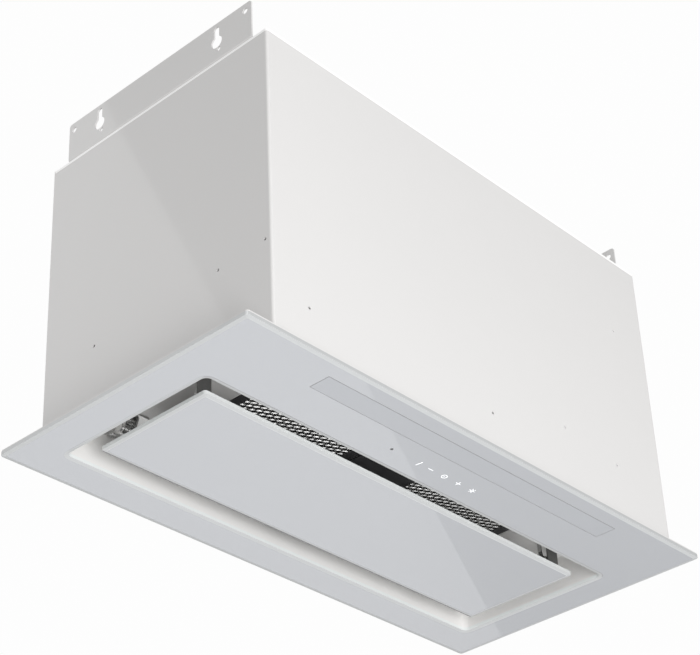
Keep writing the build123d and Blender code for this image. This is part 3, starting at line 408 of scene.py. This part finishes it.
def powder(name, colour, highlight_start=None):
    """Baked powder coat: fine orange peel on a slow drift of tone, with a painted highlight, a paler colour
    and a faint glow, above a given height.
    """
    finish = Finish(name)
    drift = finish.noise(4.0, detail=3.0)
    peel = finish.noise(750.0)
    haze = finish.noise(35.0, detail=4.0)
    tone = finish.mix(drift, shade_of(colour, 0.985), shade_of(colour, 1.015))
    sockets = {
        "Base Color": tone,
        "Roughness": 0.26 + 0.10 * haze,
        "Coat Weight": 0.5 + 0.15 * haze,
        "Coat Roughness": 0.04,
        "Normal": finish.bump(peel, 0.012 * MM),
    }
    if highlight_start is not None:
        # Painted highlight: above that height the coat is paler and glows, standing in for light on the
        # rounded fold
        rim = finish.axis("Z") > highlight_start
        sockets["Base Color"] = finish.blend(rim, tone, (0.93, 0.925, 0.92, 1.0))
        sockets["Emission Color"] = finish.mix(rim, BLACK, (0.9, 0.9, 0.89))
        sockets["Emission Strength"] = 0.22
    return finish.shade(sockets)


def white_paint():
    """The coat of the back, the brackets and the other white sheet parts."""
    return powder("powder_coat", bpy.context.scene.hood_paint.steel)


def recess_paint():
    """The casing's powder coat, painted paler in the recess as painted light that stands in for more light
    inside it.
    """
    return powder("brightened_recess_coat", bpy.context.scene.hood_paint.recess)


def casing_paint():
    """The coat of the casing, with a painted highlight along the fold of its upper rim."""
    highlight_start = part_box("body_shell")[1].z - PAINTED_HIGHLIGHT_DEPTH
    return powder("casing_coat", bpy.context.scene.hood_paint.steel, highlight_start)


def back_painted(name, node, front_line, rear_line, rear_start, rear_depth, glow):
    """Polished float glass painted on its back, with ground bevels and edges above its lower face.
    Within the recess's outline the foot of the bevel shows as a line, which has a tone and a depth of
    its own at the rear, and the upright edges carry a painted glow. The upright edge at the front carries
    painted shade."""
    paint = bpy.context.scene.hood_paint
    finish = Finish(name)
    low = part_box(node)[0]
    height = finish.axis("Z")
    depth = finish.axis("Y")
    ground = height > low.z + POLISH_END
    upright = height > low.z + BEVEL_END
    rear = depth > rear_start
    behind_front = depth > low.y + FRONT_EDGE
    outer = finish.outside(*grown_box("recess_pan", BORDER_REACH))
    inner = 1.0 - outer
    past_line = height > low.z + LINE_END + (rear_depth - LINE_END) * rear
    line = (ground - past_line) * inner
    line_tone = finish.mix(rear, front_line, rear_line)
    # Painted shade: the upright edge at the fascia's front is painted darker
    painted_front_shade = upright * outer * (1.0 - behind_front)
    edge = finish.mix(painted_front_shade, paint.edge, shade_of(paint.edge, 0.74))
    cloud = finish.noise(3.0, detail=2.0)
    smear = finish.noise(18.0, detail=5.0, roughness=0.6, stretch=(1.0, 2.5, 1.0))
    ripple = finish.noise(9.0, detail=1.0)
    white = finish.mix(cloud, shade_of(paint.glass, 0.99), shade_of(paint.glass, 1.01))
    return finish.shade({
        "Base Color": finish.blend(line, finish.blend(ground, white, edge), line_tone),
        "Roughness": 0.16 + 0.08 * smear + 0.30 * ground,
        "IOR": 1.52,
        "Coat Weight": (0.8 + 0.15 * smear) * (1.0 - 0.7 * ground),
        "Coat Roughness": 0.015,
        "Coat IOR": 1.7,
        # Painted glow: the upright edges within the recess's outline emit light though they are no lamp
        "Emission Color": finish.mix(upright * inner, BLACK, (0.86, 0.93, 0.90)),
        "Emission Strength": glow,
        "Normal": finish.bump(ripple, 0.02 * MM),
    })


def white_glass():
    """The glass of the fascia: a grey line round its opening, with none in the band at the rear, and a
    painted glow on the upright edges of its opening.
    """
    rear_band = 16.0 * MM
    return back_painted(
        "painted_glass", "fascia_glass",
        front_line=(0.42, 0.42, 0.43), rear_line=bpy.context.scene.hood_paint.edge,
        rear_start=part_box("recess_pan")[1].y - rear_band, rear_depth=LINE_END, glow=0.2)


def panel_glass():
    """The glass of the suction panel: a painted highlight line round it, painted shade on the bevel in the
    band at the rear, and a faint painted glow on its upright edges.
    """
    rear_band = 1.2 * MM
    return back_painted(
        "painted_panel", "panel_glass",
        # Painted highlight along the bevel's foot at the front and sides, painted shade on the whole rear
        # bevel
        front_line=(0.78, 0.79, 0.80), rear_line=(0.24, 0.24, 0.25),
        rear_start=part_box("panel_glass")[1].y - rear_band, rear_depth=BEVEL_END, glow=0.1)


def zinc_steel():
    """Hot-dip zinc: a patchwork of crystals with their own gloss."""
    finish = Finish("zinc_coat")
    crystal = finish.cells(140.0, output="Color")
    tone = finish.ramp(crystal, ((0.0, 0.46), (1.0, 0.60)))
    grain = finish.noise(600.0, detail=3.0)
    return finish.shade({
        "Base Color": tone,
        "Metallic": 0.85 + 0.1 * grain,
        "Roughness": 0.34 + 0.18 * finish.noise(45.0),
        "Normal": finish.bump(grain, 0.01 * MM),
    })


def black_steel():
    """Black stove enamel with a fine grain and paler rubbed patches."""
    colour = bpy.context.scene.hood_paint.frame
    finish = Finish("black_enamel")
    rub = finish.noise(26.0, detail=6.0, roughness=0.65)
    grain = finish.noise(1100.0)
    return finish.shade({
        "Base Color": finish.mix(rub, shade_of(colour, 0.8), shade_of(colour, 1.7)),
        "Roughness": 0.30 + 0.18 * rub,
        "Normal": finish.bump(grain, 0.012 * MM),
    })


def spring_steel():
    """Blued strip, drawn lengthwise, with bright scratches."""
    finish = Finish("blued_strip")
    drawn = finish.noise(160.0, detail=5.0, roughness=0.7, stretch=(1.0, 1.0, 12.0))
    return finish.shade({
        "Base Color": finish.mix(drawn, (0.035, 0.038, 0.045), (0.15, 0.15, 0.16)),
        "Metallic": 0.9,
        "Roughness": 0.24 + 0.2 * drawn,
        "Normal": finish.bump(drawn, 0.01 * MM),
    })


def dull_strip():
    """Phosphated strip: a dull mid grey with a crystalline grain."""
    finish = Finish("phosphate_coat")
    crystal = finish.cells(420.0, output="Color")
    wear = finish.noise(70.0, detail=4.0)
    return finish.shade({
        "Base Color": finish.mix(wear, (0.115, 0.115, 0.112), (0.19, 0.19, 0.187)),
        "Metallic": 0.25 + 0.1 * wear,
        "Roughness": 0.42 + 0.2 * finish.ramp(crystal, ((0.0, 0.0), (1.0, 1.0))),
        "Normal": finish.bump(crystal, 0.008 * MM),
    })


def screw_zinc():
    """Bright plated steel with a fine turned grain."""
    finish = Finish("plated_steel")
    turned = finish.noise(900.0, detail=4.0)
    tarnish = finish.noise(90.0, detail=4.0)
    return finish.shade({
        "Base Color": finish.mix(tarnish, (0.50, 0.50, 0.50), (0.72, 0.72, 0.71)),
        "Metallic": 1.0,
        "Roughness": 0.18 + 0.16 * tarnish,
        "Normal": finish.bump(turned, 0.006 * MM),
    })


def aluminium_mesh():
    """Stretched aluminium: bright strands with drag lines from the slitting knife."""
    finish = Finish("stretched_aluminium")
    drag = finish.noise(700.0, detail=4.0, stretch=(0.25, 1.0, 1.0))
    dull = finish.noise(60.0, detail=3.0)
    return finish.shade({
        "Base Color": finish.mix(dull, (0.45, 0.45, 0.445), (0.63, 0.63, 0.625)),
        "Metallic": 0.90 + 0.1 * dull,
        "Roughness": 0.26 + 0.16 * drag,
        "Normal": finish.bump(drag, 0.012 * MM),
    })


def wire_core():
    """Crimped aluminium wire in two crossing layers: bright wires over painted shade in the gaps between
    them.
    """
    lay = math.radians(38.0)
    finish = Finish("crimped_wire")
    first = finish.waves(170.0, distortion=1.5, turn=lay)
    second = finish.waves(170.0, distortion=1.5, turn=-lay)
    wires = finish.maths("MAXIMUM", first, second) ** 5.0
    return finish.shade({
        # The near-black gaps are painted shade of the depth between the wires
        "Base Color": finish.mix(wires, (0.012, 0.012, 0.013), (0.20, 0.20, 0.20)),
        "Metallic": 0.6 * wires,
        "Roughness": 0.75 - 0.35 * wires,
        "Normal": finish.bump(wires, 0.4 * MM),
    })


def aluminium_plain():
    """Drawn aluminium with long fine lines."""
    finish = Finish("drawn_aluminium")
    lines = finish.noise(900.0, detail=4.0, roughness=0.6, stretch=(0.02, 1.0, 1.0))
    return finish.shade({
        "Base Color": finish.mix(lines, (0.60, 0.60, 0.61), (0.74, 0.74, 0.75)),
        "Metallic": 0.95,
        "Roughness": 0.28 + 0.14 * lines,
        "Normal": finish.bump(lines, 0.008 * MM),
    })


def opal_plastic():
    """Milky diffuser, a little cloudy, with a dark seal round the face that lies level with the glass."""
    glass = bpy.context.scene.hood_paint.glass
    finish = Finish("opal_diffuser")
    cloud = finish.noise(22.0, detail=3.0)
    grain = finish.noise(1300.0)
    seal = finish.outside(*grown_box("lamp_diffuser", -SEAL_INSET))
    opal = finish.mix(cloud, shade_of(glass, 0.93), shade_of(glass, 0.95))
    return finish.shade({
        "Base Color": finish.blend(seal, opal, (0.38, 0.38, 0.39, 1.0)),
        "Roughness": 0.20 + 0.08 * cloud,
        "Subsurface Weight": 0.1,
        "Subsurface Radius": (2.0 * MM, 2.0 * MM, 2.0 * MM),
        "Subsurface Scale": 1.0,
        "Normal": finish.bump(grain, 0.004 * MM),
    })


def moulded(name, dark, light, roughness):
    """Moulded plastic: a spark-eroded grain and slow flow marks."""
    finish = Finish(name)
    grain = finish.cells(1500.0)
    flow = finish.noise(14.0, detail=3.0, stretch=(1.0, 1.0, 2.5))
    return finish.shade({
        "Base Color": finish.mix(flow, dark, light),
        "Roughness": roughness + 0.14 * flow,
        "Normal": finish.bump(grain, 0.02 * MM),
    })


def black_plastic():
    """The plastic of the blower, the outlet, the gland and the touch board's housing."""
    return moulded("black_moulding", (0.018, 0.018, 0.019), (0.034, 0.034, 0.036), 0.40)


def grey_plastic():
    """The plastic of the control box and the lamp driver."""
    return moulded("grey_moulding", (0.42, 0.42, 0.43), (0.50, 0.50, 0.51), 0.42)


def rubber():
    """The soft rubber of the blower's bushes."""
    return moulded("soft_rubber", (0.020, 0.020, 0.020), (0.045, 0.044, 0.043), 0.70)


def dark_lens():
    """Smoked window of the light sensor."""
    finish = Finish("smoked_lens")
    depth = finish.noise(300.0)
    return finish.shade({
        "Base Color": finish.mix(depth, (0.006, 0.006, 0.008), (0.020, 0.018, 0.022)),
        "Roughness": 0.06 + 0.04 * depth,
        "Coat Weight": 1.0,
    })


def circuit_board():
    """Green board with paler copper tracks under the lacquer."""
    finish = Finish("lacquered_board")
    tracks = finish.waves(150.0, distortion=6.0) > 0.62
    weave = finish.noise(1500.0)
    return finish.shade({
        "Base Color": finish.mix(tracks, (0.010, 0.075, 0.030), (0.035, 0.16, 0.07)),
        "Roughness": 0.30 + 0.12 * weave,
        "Normal": finish.bump(tracks, 0.03 * MM),
    })


def lit_symbol():
    """White light through the touch keys' windows."""
    finish = Finish("lit_symbol")
    haze = finish.noise(260.0)
    return finish.shade({
        "Base Color": (0.9, 0.9, 0.9, 1.0),
        "Roughness": 0.3 + 0.1 * haze,
        "Emission Color": finish.mix(haze, (0.93, 0.97, 1.0), (1.0, 1.0, 1.0)),
        "Emission Strength": bpy.context.scene.hood_touch.glow,
    })


def floor_paint():
    """The pale floor, a little uneven in tone."""
    finish = Finish("pale_floor")
    tone = finish.noise(0.8, detail=3.0)
    return finish.shade({
        "Base Color": finish.mix(tone, (0.86, 0.86, 0.86), (0.88, 0.88, 0.88)),
        "Roughness": 0.85 + 0.1 * tone,
    })


FINISHES = {
    "white_paint": white_paint,
    "white_glass": white_glass,
    "zinc_steel": zinc_steel,
    "black_steel": black_steel,
    "spring_steel": spring_steel,
    "screw_zinc": screw_zinc,
    "aluminium_mesh": aluminium_mesh,
    "aluminium_plain": aluminium_plain,
    "opal_plastic": opal_plastic,
    "black_plastic": black_plastic,
    "grey_plastic": grey_plastic,
    "dark_lens": dark_lens,
    "circuit_board": circuit_board,
    "rubber": rubber,
}
SPECIAL_FINISHES = {
    "body_shell": casing_paint,
    "fascia_frame": white_paint,
    "recess_pan": recess_paint,
    "panel_glass": panel_glass,
    "left_filter_core": wire_core,
    "right_filter_core": wire_core,
    "left_hinge_arm": screw_zinc,
    "right_hinge_arm": screw_zinc,
    "left_hinge_bracket": screw_zinc,
    "right_hinge_bracket": screw_zinc,
    "left_catch_spring": screw_zinc,
    "right_catch_spring": screw_zinc,
    "left_panel_stop": dull_strip,
    "right_panel_stop": dull_strip,
}


# Shaping

def place_object(name, data):
    """Makes an object of some data and puts it in the scene."""
    made = bpy.data.objects.new(name, data)
    bpy.context.scene.collection.objects.link(made)
    return made


def mesh_object(name, shape):
    """Makes an object of the mesh in progress, which it uses up."""
    mesh = bpy.data.meshes.new(name)
    shape.to_mesh(mesh)
    shape.free()
    return place_object(name, mesh)


def piece(name, shape, body, material):
    """Makes a piece of the mesh in progress, at the origin, riding its body."""
    made = mesh_object(name, shape)
    made.data.materials.append(material)
    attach(made, body)
    return made


def whole(shape):
    """All the geometry of a mesh in progress."""
    return [*shape.verts, *shape.edges, *shape.faces]


def only(kind, geometry):
    """What is of one kind in some geometry, such as its faces."""
    return [item for item in geometry if isinstance(item, kind)]


def islands(node):
    """The lowest and highest corner of each loose part of a frame node, in the order of its points."""
    shape = bmesh.new()
    shape.from_mesh(frame["nodes"][node].data)
    bmesh.ops.remove_doubles(shape, verts=shape.verts, dist=MERGE_DISTANCE)
    seen = set()
    boxes = []
    for start in shape.verts:
        if start in seen:
            continue
        seen.add(start)
        group = [start]
        for vert in group:
            near = [link.other_vert(vert) for link in vert.link_edges]
            group.extend(other for other in near if other not in seen)
            seen.update(near)
        places = [vert.co for vert in group]
        low = Vector(min(place[axis] for place in places) for axis in range(3))
        high = Vector(max(place[axis] for place in places) for axis in range(3))
        boxes.append((low, high))
    shape.free()
    return boxes


def bar(shape, centre, size, turn=0.0):
    """Adds a box turned about the vertical."""
    place = Matrix.Translation(centre) @ Matrix.Rotation(turn, 4, "Z") @ Matrix.Diagonal((*size, 1.0))
    bmesh.ops.create_cube(shape, size=1.0, matrix=place)


def ring(shape, centre, radius, width, height):
    """Adds a flat ring by spinning its section."""
    half = 0.5 * width * X_AXIS
    rise = 0.5 * height * Z_AXIS
    middle = centre + radius * X_AXIS
    section_corners = [middle - half - rise, middle + half - rise, middle + half + rise, middle - half + rise]
    section = shape.faces.new([shape.verts.new(corner) for corner in section_corners])
    made = bmesh.ops.spin(
        shape, geom=[section, *section.edges, *section.verts], cent=centre, axis=Z_AXIS,
        angle=FULL_TURN, steps=RING_STEPS, use_merge=True, use_duplicate=False)
    bmesh.ops.delete(shape, geom=only(bmesh.types.BMFace, made["geom_last"]), context="FACES_ONLY")


def strand(shape, metal):
    """Adds one strand between two bonds: a strip that leans out of the sheet, least at its bonds."""
    reach = math.hypot(0.5 * metal.long_way, metal.short_way)
    verts = bmesh.ops.create_grid(shape, x_segments=STRAND_SLICES, y_segments=1, size=0.5)["verts"]
    bmesh.ops.scale(shape, vec=(reach, metal.strand, 1.0), verts=verts)
    for vert in verts:
        along = vert.co.x / reach + 0.5
        share = BOND_LEAN + (1.0 - BOND_LEAN) * math.sin(math.pi * along)
        lean = Matrix.Rotation(-metal.lean * share, 3, "X")
        vert.co = vert.co.x * X_AXIS + lean @ (vert.co.y * Y_AXIS)
    slope = Matrix.Rotation(math.atan2(metal.short_way, 0.5 * metal.long_way), 3, "Z")
    bmesh.ops.rotate(shape, cent=(0.0, 0.0, 0.0), matrix=slope, verts=verts)
    bmesh.ops.solidify(shape, geom=shape.faces[:], thickness=metal.sheet)


def add_copy(shape, geometry, shift):
    """Adds a copy of some geometry, moved by a shift."""
    copy = bmesh.ops.duplicate(shape, geom=geometry)["geom"]
    bmesh.ops.translate(shape, vec=shift, verts=only(bmesh.types.BMVert, copy))


def expanded_mesh(metal, low, high):
    """Rows of zigzag strands that meet at their bonds, trimmed to the filter's face."""
    size = high - low
    across = math.ceil(size.x / metal.long_way) + 1
    rows = math.ceil(size.y / metal.short_way) + 1
    half_way = 0.5 * metal.long_way
    shape = bmesh.new()
    strand(shape, metal)
    falling = bmesh.ops.duplicate(shape, geom=whole(shape))["geom"]
    falling_verts = only(bmesh.types.BMVert, falling)
    bmesh.ops.scale(shape, vec=(-1.0, 1.0, 1.0), verts=falling_verts)
    bmesh.ops.reverse_faces(shape, faces=only(bmesh.types.BMFace, falling))
    bmesh.ops.translate(shape, vec=(half_way, 0.0, 0.0), verts=falling_verts)
    wave = whole(shape)
    for step in range(1, across):
        add_copy(shape, wave, (step * metal.long_way, 0.0, 0.0))
    row = whole(shape)
    for step in range(1, rows):
        add_copy(shape, row, (half_way * (step % 2), step * metal.short_way, 0.0))
    extent = Vector((across * half_way, 0.5 * (rows - 1) * metal.short_way, 0.0))
    bmesh.ops.translate(shape, vec=0.5 * (low + high) - extent, verts=shape.verts)
    for normal, place in ((X_AXIS, high), (-X_AXIS, low), (Y_AXIS, high), (-Y_AXIS, low)):
        cut = bmesh.ops.bisect_plane(
            shape, geom=whole(shape), plane_co=place, plane_no=normal, clear_outer=True)
        bmesh.ops.holes_fill(shape, edges=only(bmesh.types.BMEdge, cut["geom_cut"]), sides=0)
    return shape


def low_symbol(shape, centre, tall, line, thick):
    """One broad stroke that leans over."""
    lean = math.radians(9.0)
    bar(shape, centre, (1.2 * line, 1.15 * tall, thick), lean)


def minus_symbol(shape, centre, tall, line, thick):
    """One level stroke."""
    bar(shape, centre, (0.95 * tall, line, thick))


def power_symbol(shape, centre, tall, line, thick):
    """A ring with a short stroke in its middle."""
    radius = 0.4 * tall
    stroke = 0.22 * tall
    stroke_rise = 0.06 * tall
    ring(shape, centre, radius, line, thick)
    bar(shape, centre + stroke_rise * Y_AXIS, (line, stroke, thick))


def plus_symbol(shape, centre, tall, line, thick):
    """Two crossed strokes."""
    stroke = 0.9 * tall
    bar(shape, centre, (stroke, line, thick))
    bar(shape, centre, (line, stroke, thick))


def lamp_symbol(shape, centre, tall, line, thick):
    """A small ring with rays round it."""
    rays = 6
    radius = 0.2 * tall
    ray = 0.2 * tall
    ray_place = 0.42 * tall
    ring(shape, centre, radius, line, thick)
    for step in range(rays):
        angle = step * FULL_TURN / rays
        shift = Matrix.Rotation(angle, 3, "Z") @ (ray_place * X_AXIS)
        bar(shape, centre + shift, (ray, line, thick), angle)


SYMBOLS = (low_symbol, minus_symbol, power_symbol, plus_symbol, lamp_symbol)


def carved(head, recess):
    """The mesh of a screw head with its recess cut out of it. Both shapes are used up."""
    blank = mesh_object("head_blank", head)
    tool = mesh_object("recess_tool", recess)
    cut = blank.modifiers.new("recess", "BOOLEAN")
    cut.object = tool
    cut.use_self = True
    bpy.context.view_layer.update()
    evaluated = blank.evaluated_get(bpy.context.evaluated_depsgraph_get())
    finished = bpy.data.meshes.new_from_object(evaluated)
    for used in (blank, tool):
        mesh = used.data
        bpy.data.objects.remove(used)
        bpy.data.meshes.remove(mesh)
    return finished


def cross_head(radius, height, settings):
    """A domed screw head with a cross recess, seated on z = 0, as a mesh."""
    head = bmesh.new()
    verts = [head.verts.new((across * radius, 0.0, up * height)) for across, up in HEAD_PROFILE]
    edges = [head.edges.new(pair) for pair in zip(verts, verts[1:])]
    bmesh.ops.spin(
        head, geom=verts + edges, cent=(0.0, 0.0, 0.0), axis=Z_AXIS,
        angle=FULL_TURN, steps=settings.sides, use_merge=True)
    bmesh.ops.remove_doubles(head, verts=head.verts, dist=MERGE_DISTANCE)
    bmesh.ops.recalc_face_normals(head, faces=head.faces)
    recess = bmesh.new()
    reach = 2.0 * settings.slot_reach * radius
    width = settings.slot_width * radius
    depth = 2.0 * settings.slot_depth * height
    bar(recess, height * Z_AXIS, (reach, width, depth))
    bar(recess, height * Z_AXIS, (width, reach, depth))
    return carved(head, recess)


def add_screws(name, node, usual, head_height):
    """Screws with cross recesses where the node has its plain ones. Their heads point the usual way,
    and backwards in the back panel."""
    settings = bpy.context.scene.hood_screws
    boxes = islands(node)
    back_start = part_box("back_panel")[0].y - BACK_SCREW_REACH
    radius = 0.5 * max(high.x - low.x for low, high in boxes)
    head = cross_head(radius, head_height, settings)
    shape = bmesh.new()
    for low, high in boxes:
        direction = Y_AXIS if low.y > back_start else usual
        length = abs((high - low).dot(direction))
        shank = length - head_height
        seat = 0.5 * (low + high) + direction * (0.5 * length - head_height)
        turn = Z_AXIS.rotation_difference(direction).to_matrix().to_4x4()
        turned = head.copy()
        turned.transform(Matrix.Translation(seat) @ turn)
        shape.from_mesh(turned)
        bpy.data.meshes.remove(turned)
        middle = Matrix.Translation(seat - direction * 0.5 * shank)
        bmesh.ops.create_cone(
            shape, cap_ends=True, segments=settings.sides, radius1=SHANK_TIP * radius,
            radius2=SHANK_NECK * radius, depth=shank, matrix=middle @ turn)
    made = piece(name, shape, "casing", bpy.data.materials["plated_steel"])
    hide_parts(node)
    bpy.data.meshes.remove(head)


# Stage

def lay_floor(stage):
    """Lays the square floor below the hood."""
    shape = bmesh.new()
    bmesh.ops.create_grid(
        shape, x_segments=FLOOR_SEGMENTS, y_segments=FLOOR_SEGMENTS, size=0.5 * stage.floor_size)
    bmesh.ops.translate(shape, vec=(0.0, 0.0, stage.floor_height), verts=shape.verts)
    floor = mesh_object("floor", shape)
    floor.data.materials.append(floor_paint())
    floor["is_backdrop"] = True


def light_surround(scene, stage):
    """Gives the world one brightness for the hood and another for the camera."""
    world = bpy.data.worlds.new("surround")
    scene.world = world
    finish = Finish("surround", world)
    seen = finish.output(finish.node("ShaderNodeLightPath", {}, {}), "Is Camera Ray")
    strength = stage.surround + (stage.backdrop - stage.surround) * seen
    sky = finish.node("ShaderNodeBackground", {}, {"Color": (1.0, 1.0, 1.0, 1.0), "Strength": strength})
    finish.node("ShaderNodeOutputWorld", {}, {"Surface": finish.output(sky, "Background")})


def soft_light(name, place, target, side, power):
    """Sets a square soft light that shines at a target."""
    data = bpy.data.lights.new(name, "AREA")
    data.energy = power
    data.size = side
    lamp = place_object(name, data)
    lamp.location = place
    lamp.rotation_euler = (target - Vector(place)).to_track_quat("-Z", "Y").to_euler()


def edge_panel(name, edge, facing, brightness):
    """Lays a soft panel whose long edge runs through two points and that shines along its facing."""
    start, end = edge
    along = (end - start).normalized()
    across = facing.cross(along)
    middle = 0.5 * (start + end) + 0.5 * PANEL_DEPTH * across
    turn = Matrix((along, -across, -facing)).transposed().to_4x4()
    data = bpy.data.lights.new(name, "AREA")
    data.shape = "RECTANGLE"
    data.size = PANEL_LENGTH
    data.size_y = PANEL_DEPTH
    data.energy = brightness * math.pi * PANEL_LENGTH * PANEL_DEPTH
    lamp = place_object(name, data)
    lamp.matrix_world = Matrix.Translation(middle) @ turn
    lamp.visible_camera = False


def set_camera(scene, stage):
    """Sets the camera that sees the hood as the photograph does."""
    lens = bpy.data.cameras.new("photo_camera")
    lens.sensor_width = SENSOR_WIDTH
    lens.lens = stage.focal_length
    lens.shift_x = -stage.axis_offset[0] / PHOTO_WIDTH
    lens.shift_y = stage.axis_offset[1] / PHOTO_WIDTH
    ahead = Vector((
        math.sin(stage.heading) * math.cos(stage.climb),
        math.cos(stage.heading) * math.cos(stage.climb),
        math.sin(stage.climb)))
    level = ahead.cross(Z_AXIS).normalized()
    upright = level.cross(ahead)
    right = math.cos(stage.roll) * level + math.sin(stage.roll) * upright
    up = math.cos(stage.roll) * upright - math.sin(stage.roll) * level
    turn = Matrix((right, up, -ahead)).transposed().to_4x4()
    camera = place_object("photo_camera", lens)
    camera.matrix_world = Matrix.Translation(stage.place) @ turn
    scene.camera = camera


# Operators

class HOOD_OT_finishes(bpy.types.Operator):
    """Gives every piece of the frame its procedural finish"""

    bl_idname = "hood.finishes"
    bl_label = "Apply Finishes"

    def execute(self, context):
        makers = {*FINISHES.values(), *SPECIAL_FINISHES.values()}
        made = {make: make() for make in sorted(makers, key=lambda make: make.__name__)}
        for part in frame["record"]["subparts"]:
            material = made[SPECIAL_FINISHES.get(part["node"], FINISHES[part["material_slot"]])]
            for place in frame["nodes"][part["node"]].material_slots:
                place.material = material
        return {"FINISHED"}


class HOOD_OT_filter_meshes(bpy.types.Operator):
    """Makes the expanded-metal faces of the two grease filters"""

    bl_idname = "hood.filter_meshes"
    bl_label = "Make Filter Meshes"

    def execute(self, context):
        material = bpy.data.materials["stretched_aluminium"]
        for side in ("left", "right"):
            shape = expanded_mesh(context.scene.hood_filter, *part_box(f"{side}_filter_mesh"))
            made = piece(f"{side}_expanded_face", shape, f"{side}_filter", material)
            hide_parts(f"{side}_filter_mesh")
        return {"FINISHED"}


class HOOD_OT_touch_symbols(bpy.types.Operator):
    """Makes the lit symbols of the touch keys on the fascia glass"""

    bl_idname = "hood.touch_symbols"
    bl_label = "Make Touch Symbols"

    def execute(self, context):
        touch = context.scene.hood_touch
        glass_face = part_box("fascia_glass")[0].z
        thick = 2.0 * touch.print_height
        shape = bmesh.new()
        for add_symbol, place in zip(SYMBOLS, touch.places):
            centre = Vector((place, touch.row, glass_face))
            add_symbol(shape, centre, touch.height, touch.line, thick)
        made = piece("touch_symbols", shape, "casing", lit_symbol())
        if not made.data.polygons:
            raise RuntimeError("The touch symbols have no faces")
        return {"FINISHED"}


class HOOD_OT_screws(bpy.types.Operator):
    """Makes the cross-recess screws of the casing, the brackets and the hinge feet"""

    bl_idname = "hood.screws"
    bl_label = "Make Screws"

    def execute(self, context):
        screws = context.scene.hood_screws
        add_screws("casing_cross_screws", "casing_screws", Z_AXIS, screws.casing_head)
        add_screws("hinge_cross_screws", "hinge_screws", -Z_AXIS, screws.hinge_head)
        return {"FINISHED"}


class HOOD_OT_stage(bpy.types.Operator):
    """Sets the floor, the surroundings, the soft lights and the camera"""

    bl_idname = "hood.stage"
    bl_label = "Set the Stage"

    def execute(self, context):
        scene = context.scene
        stage = scene.hood_stage
        low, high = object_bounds()
        middle = 0.5 * (Vector(low) + Vector(high))
        lay_floor(stage)
        light_surround(scene, stage)
        soft_light("front_softbox", FRONT_LIGHT_PLACE, middle, FRONT_LIGHT_SIDE, stage.front_light)
        soft_light("corner_softbox", CORNER_LIGHT_PLACE, middle, CORNER_LIGHT_SIDE, stage.corner_light)
        edge_panel("floor_panel", FLOOR_PANEL_EDGE, Z_AXIS, stage.floor_sheen)
        edge_panel("wall_panel", WALL_PANEL_EDGE, -Y_AXIS, stage.wall_sheen)
        set_camera(scene, stage)
        scene.view_settings.view_transform = "Standard"
        return {"FINISHED"}


STEPS = (
    ("hood_paint", PaintSettings, HOOD_OT_finishes),
    ("hood_filter", FilterSettings, HOOD_OT_filter_meshes),
    ("hood_touch", TouchSettings, HOOD_OT_touch_symbols),
    ("hood_screws", ScrewSettings, HOOD_OT_screws),
    ("hood_stage", StageSettings, HOOD_OT_stage),
)


class HOOD_PT_panel(bpy.types.Panel):
    """The hood's pieces and settings in the sidebar"""

    bl_idname = "HOOD_PT_panel"
    bl_label = "Range Hood"
    bl_space_type = "VIEW_3D"
    bl_region_type = "UI"
    bl_category = "Hood"

    def draw(self, context):
        for name, settings, operator in STEPS:
            box = self.layout.box()
            for size in settings.__annotations__:
                box.prop(getattr(context.scene, name), size)
            box.operator(operator.bl_idname)


def register():
    """Registers the settings, the operators and the panel."""
    for name, settings, operator in STEPS:
        bpy.utils.register_class(settings)
        setattr(bpy.types.Scene, name, PointerProperty(type=settings))
        bpy.utils.register_class(operator)
    bpy.utils.register_class(HOOD_PT_panel)


def unregister():
    """Takes back what register did, in reverse order."""
    bpy.utils.unregister_class(HOOD_PT_panel)
    for name, settings, operator in reversed(STEPS):
        bpy.utils.unregister_class(operator)
        delattr(bpy.types.Scene, name)
        bpy.utils.unregister_class(settings)


def main():
    """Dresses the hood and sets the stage."""
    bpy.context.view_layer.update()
    register()
    bpy.ops.hood.finishes()
    bpy.ops.hood.filter_meshes()
    bpy.ops.hood.touch_symbols()
    bpy.ops.hood.screws()
    bpy.ops.hood.stage()


if __name__ == "__main__":
    main()
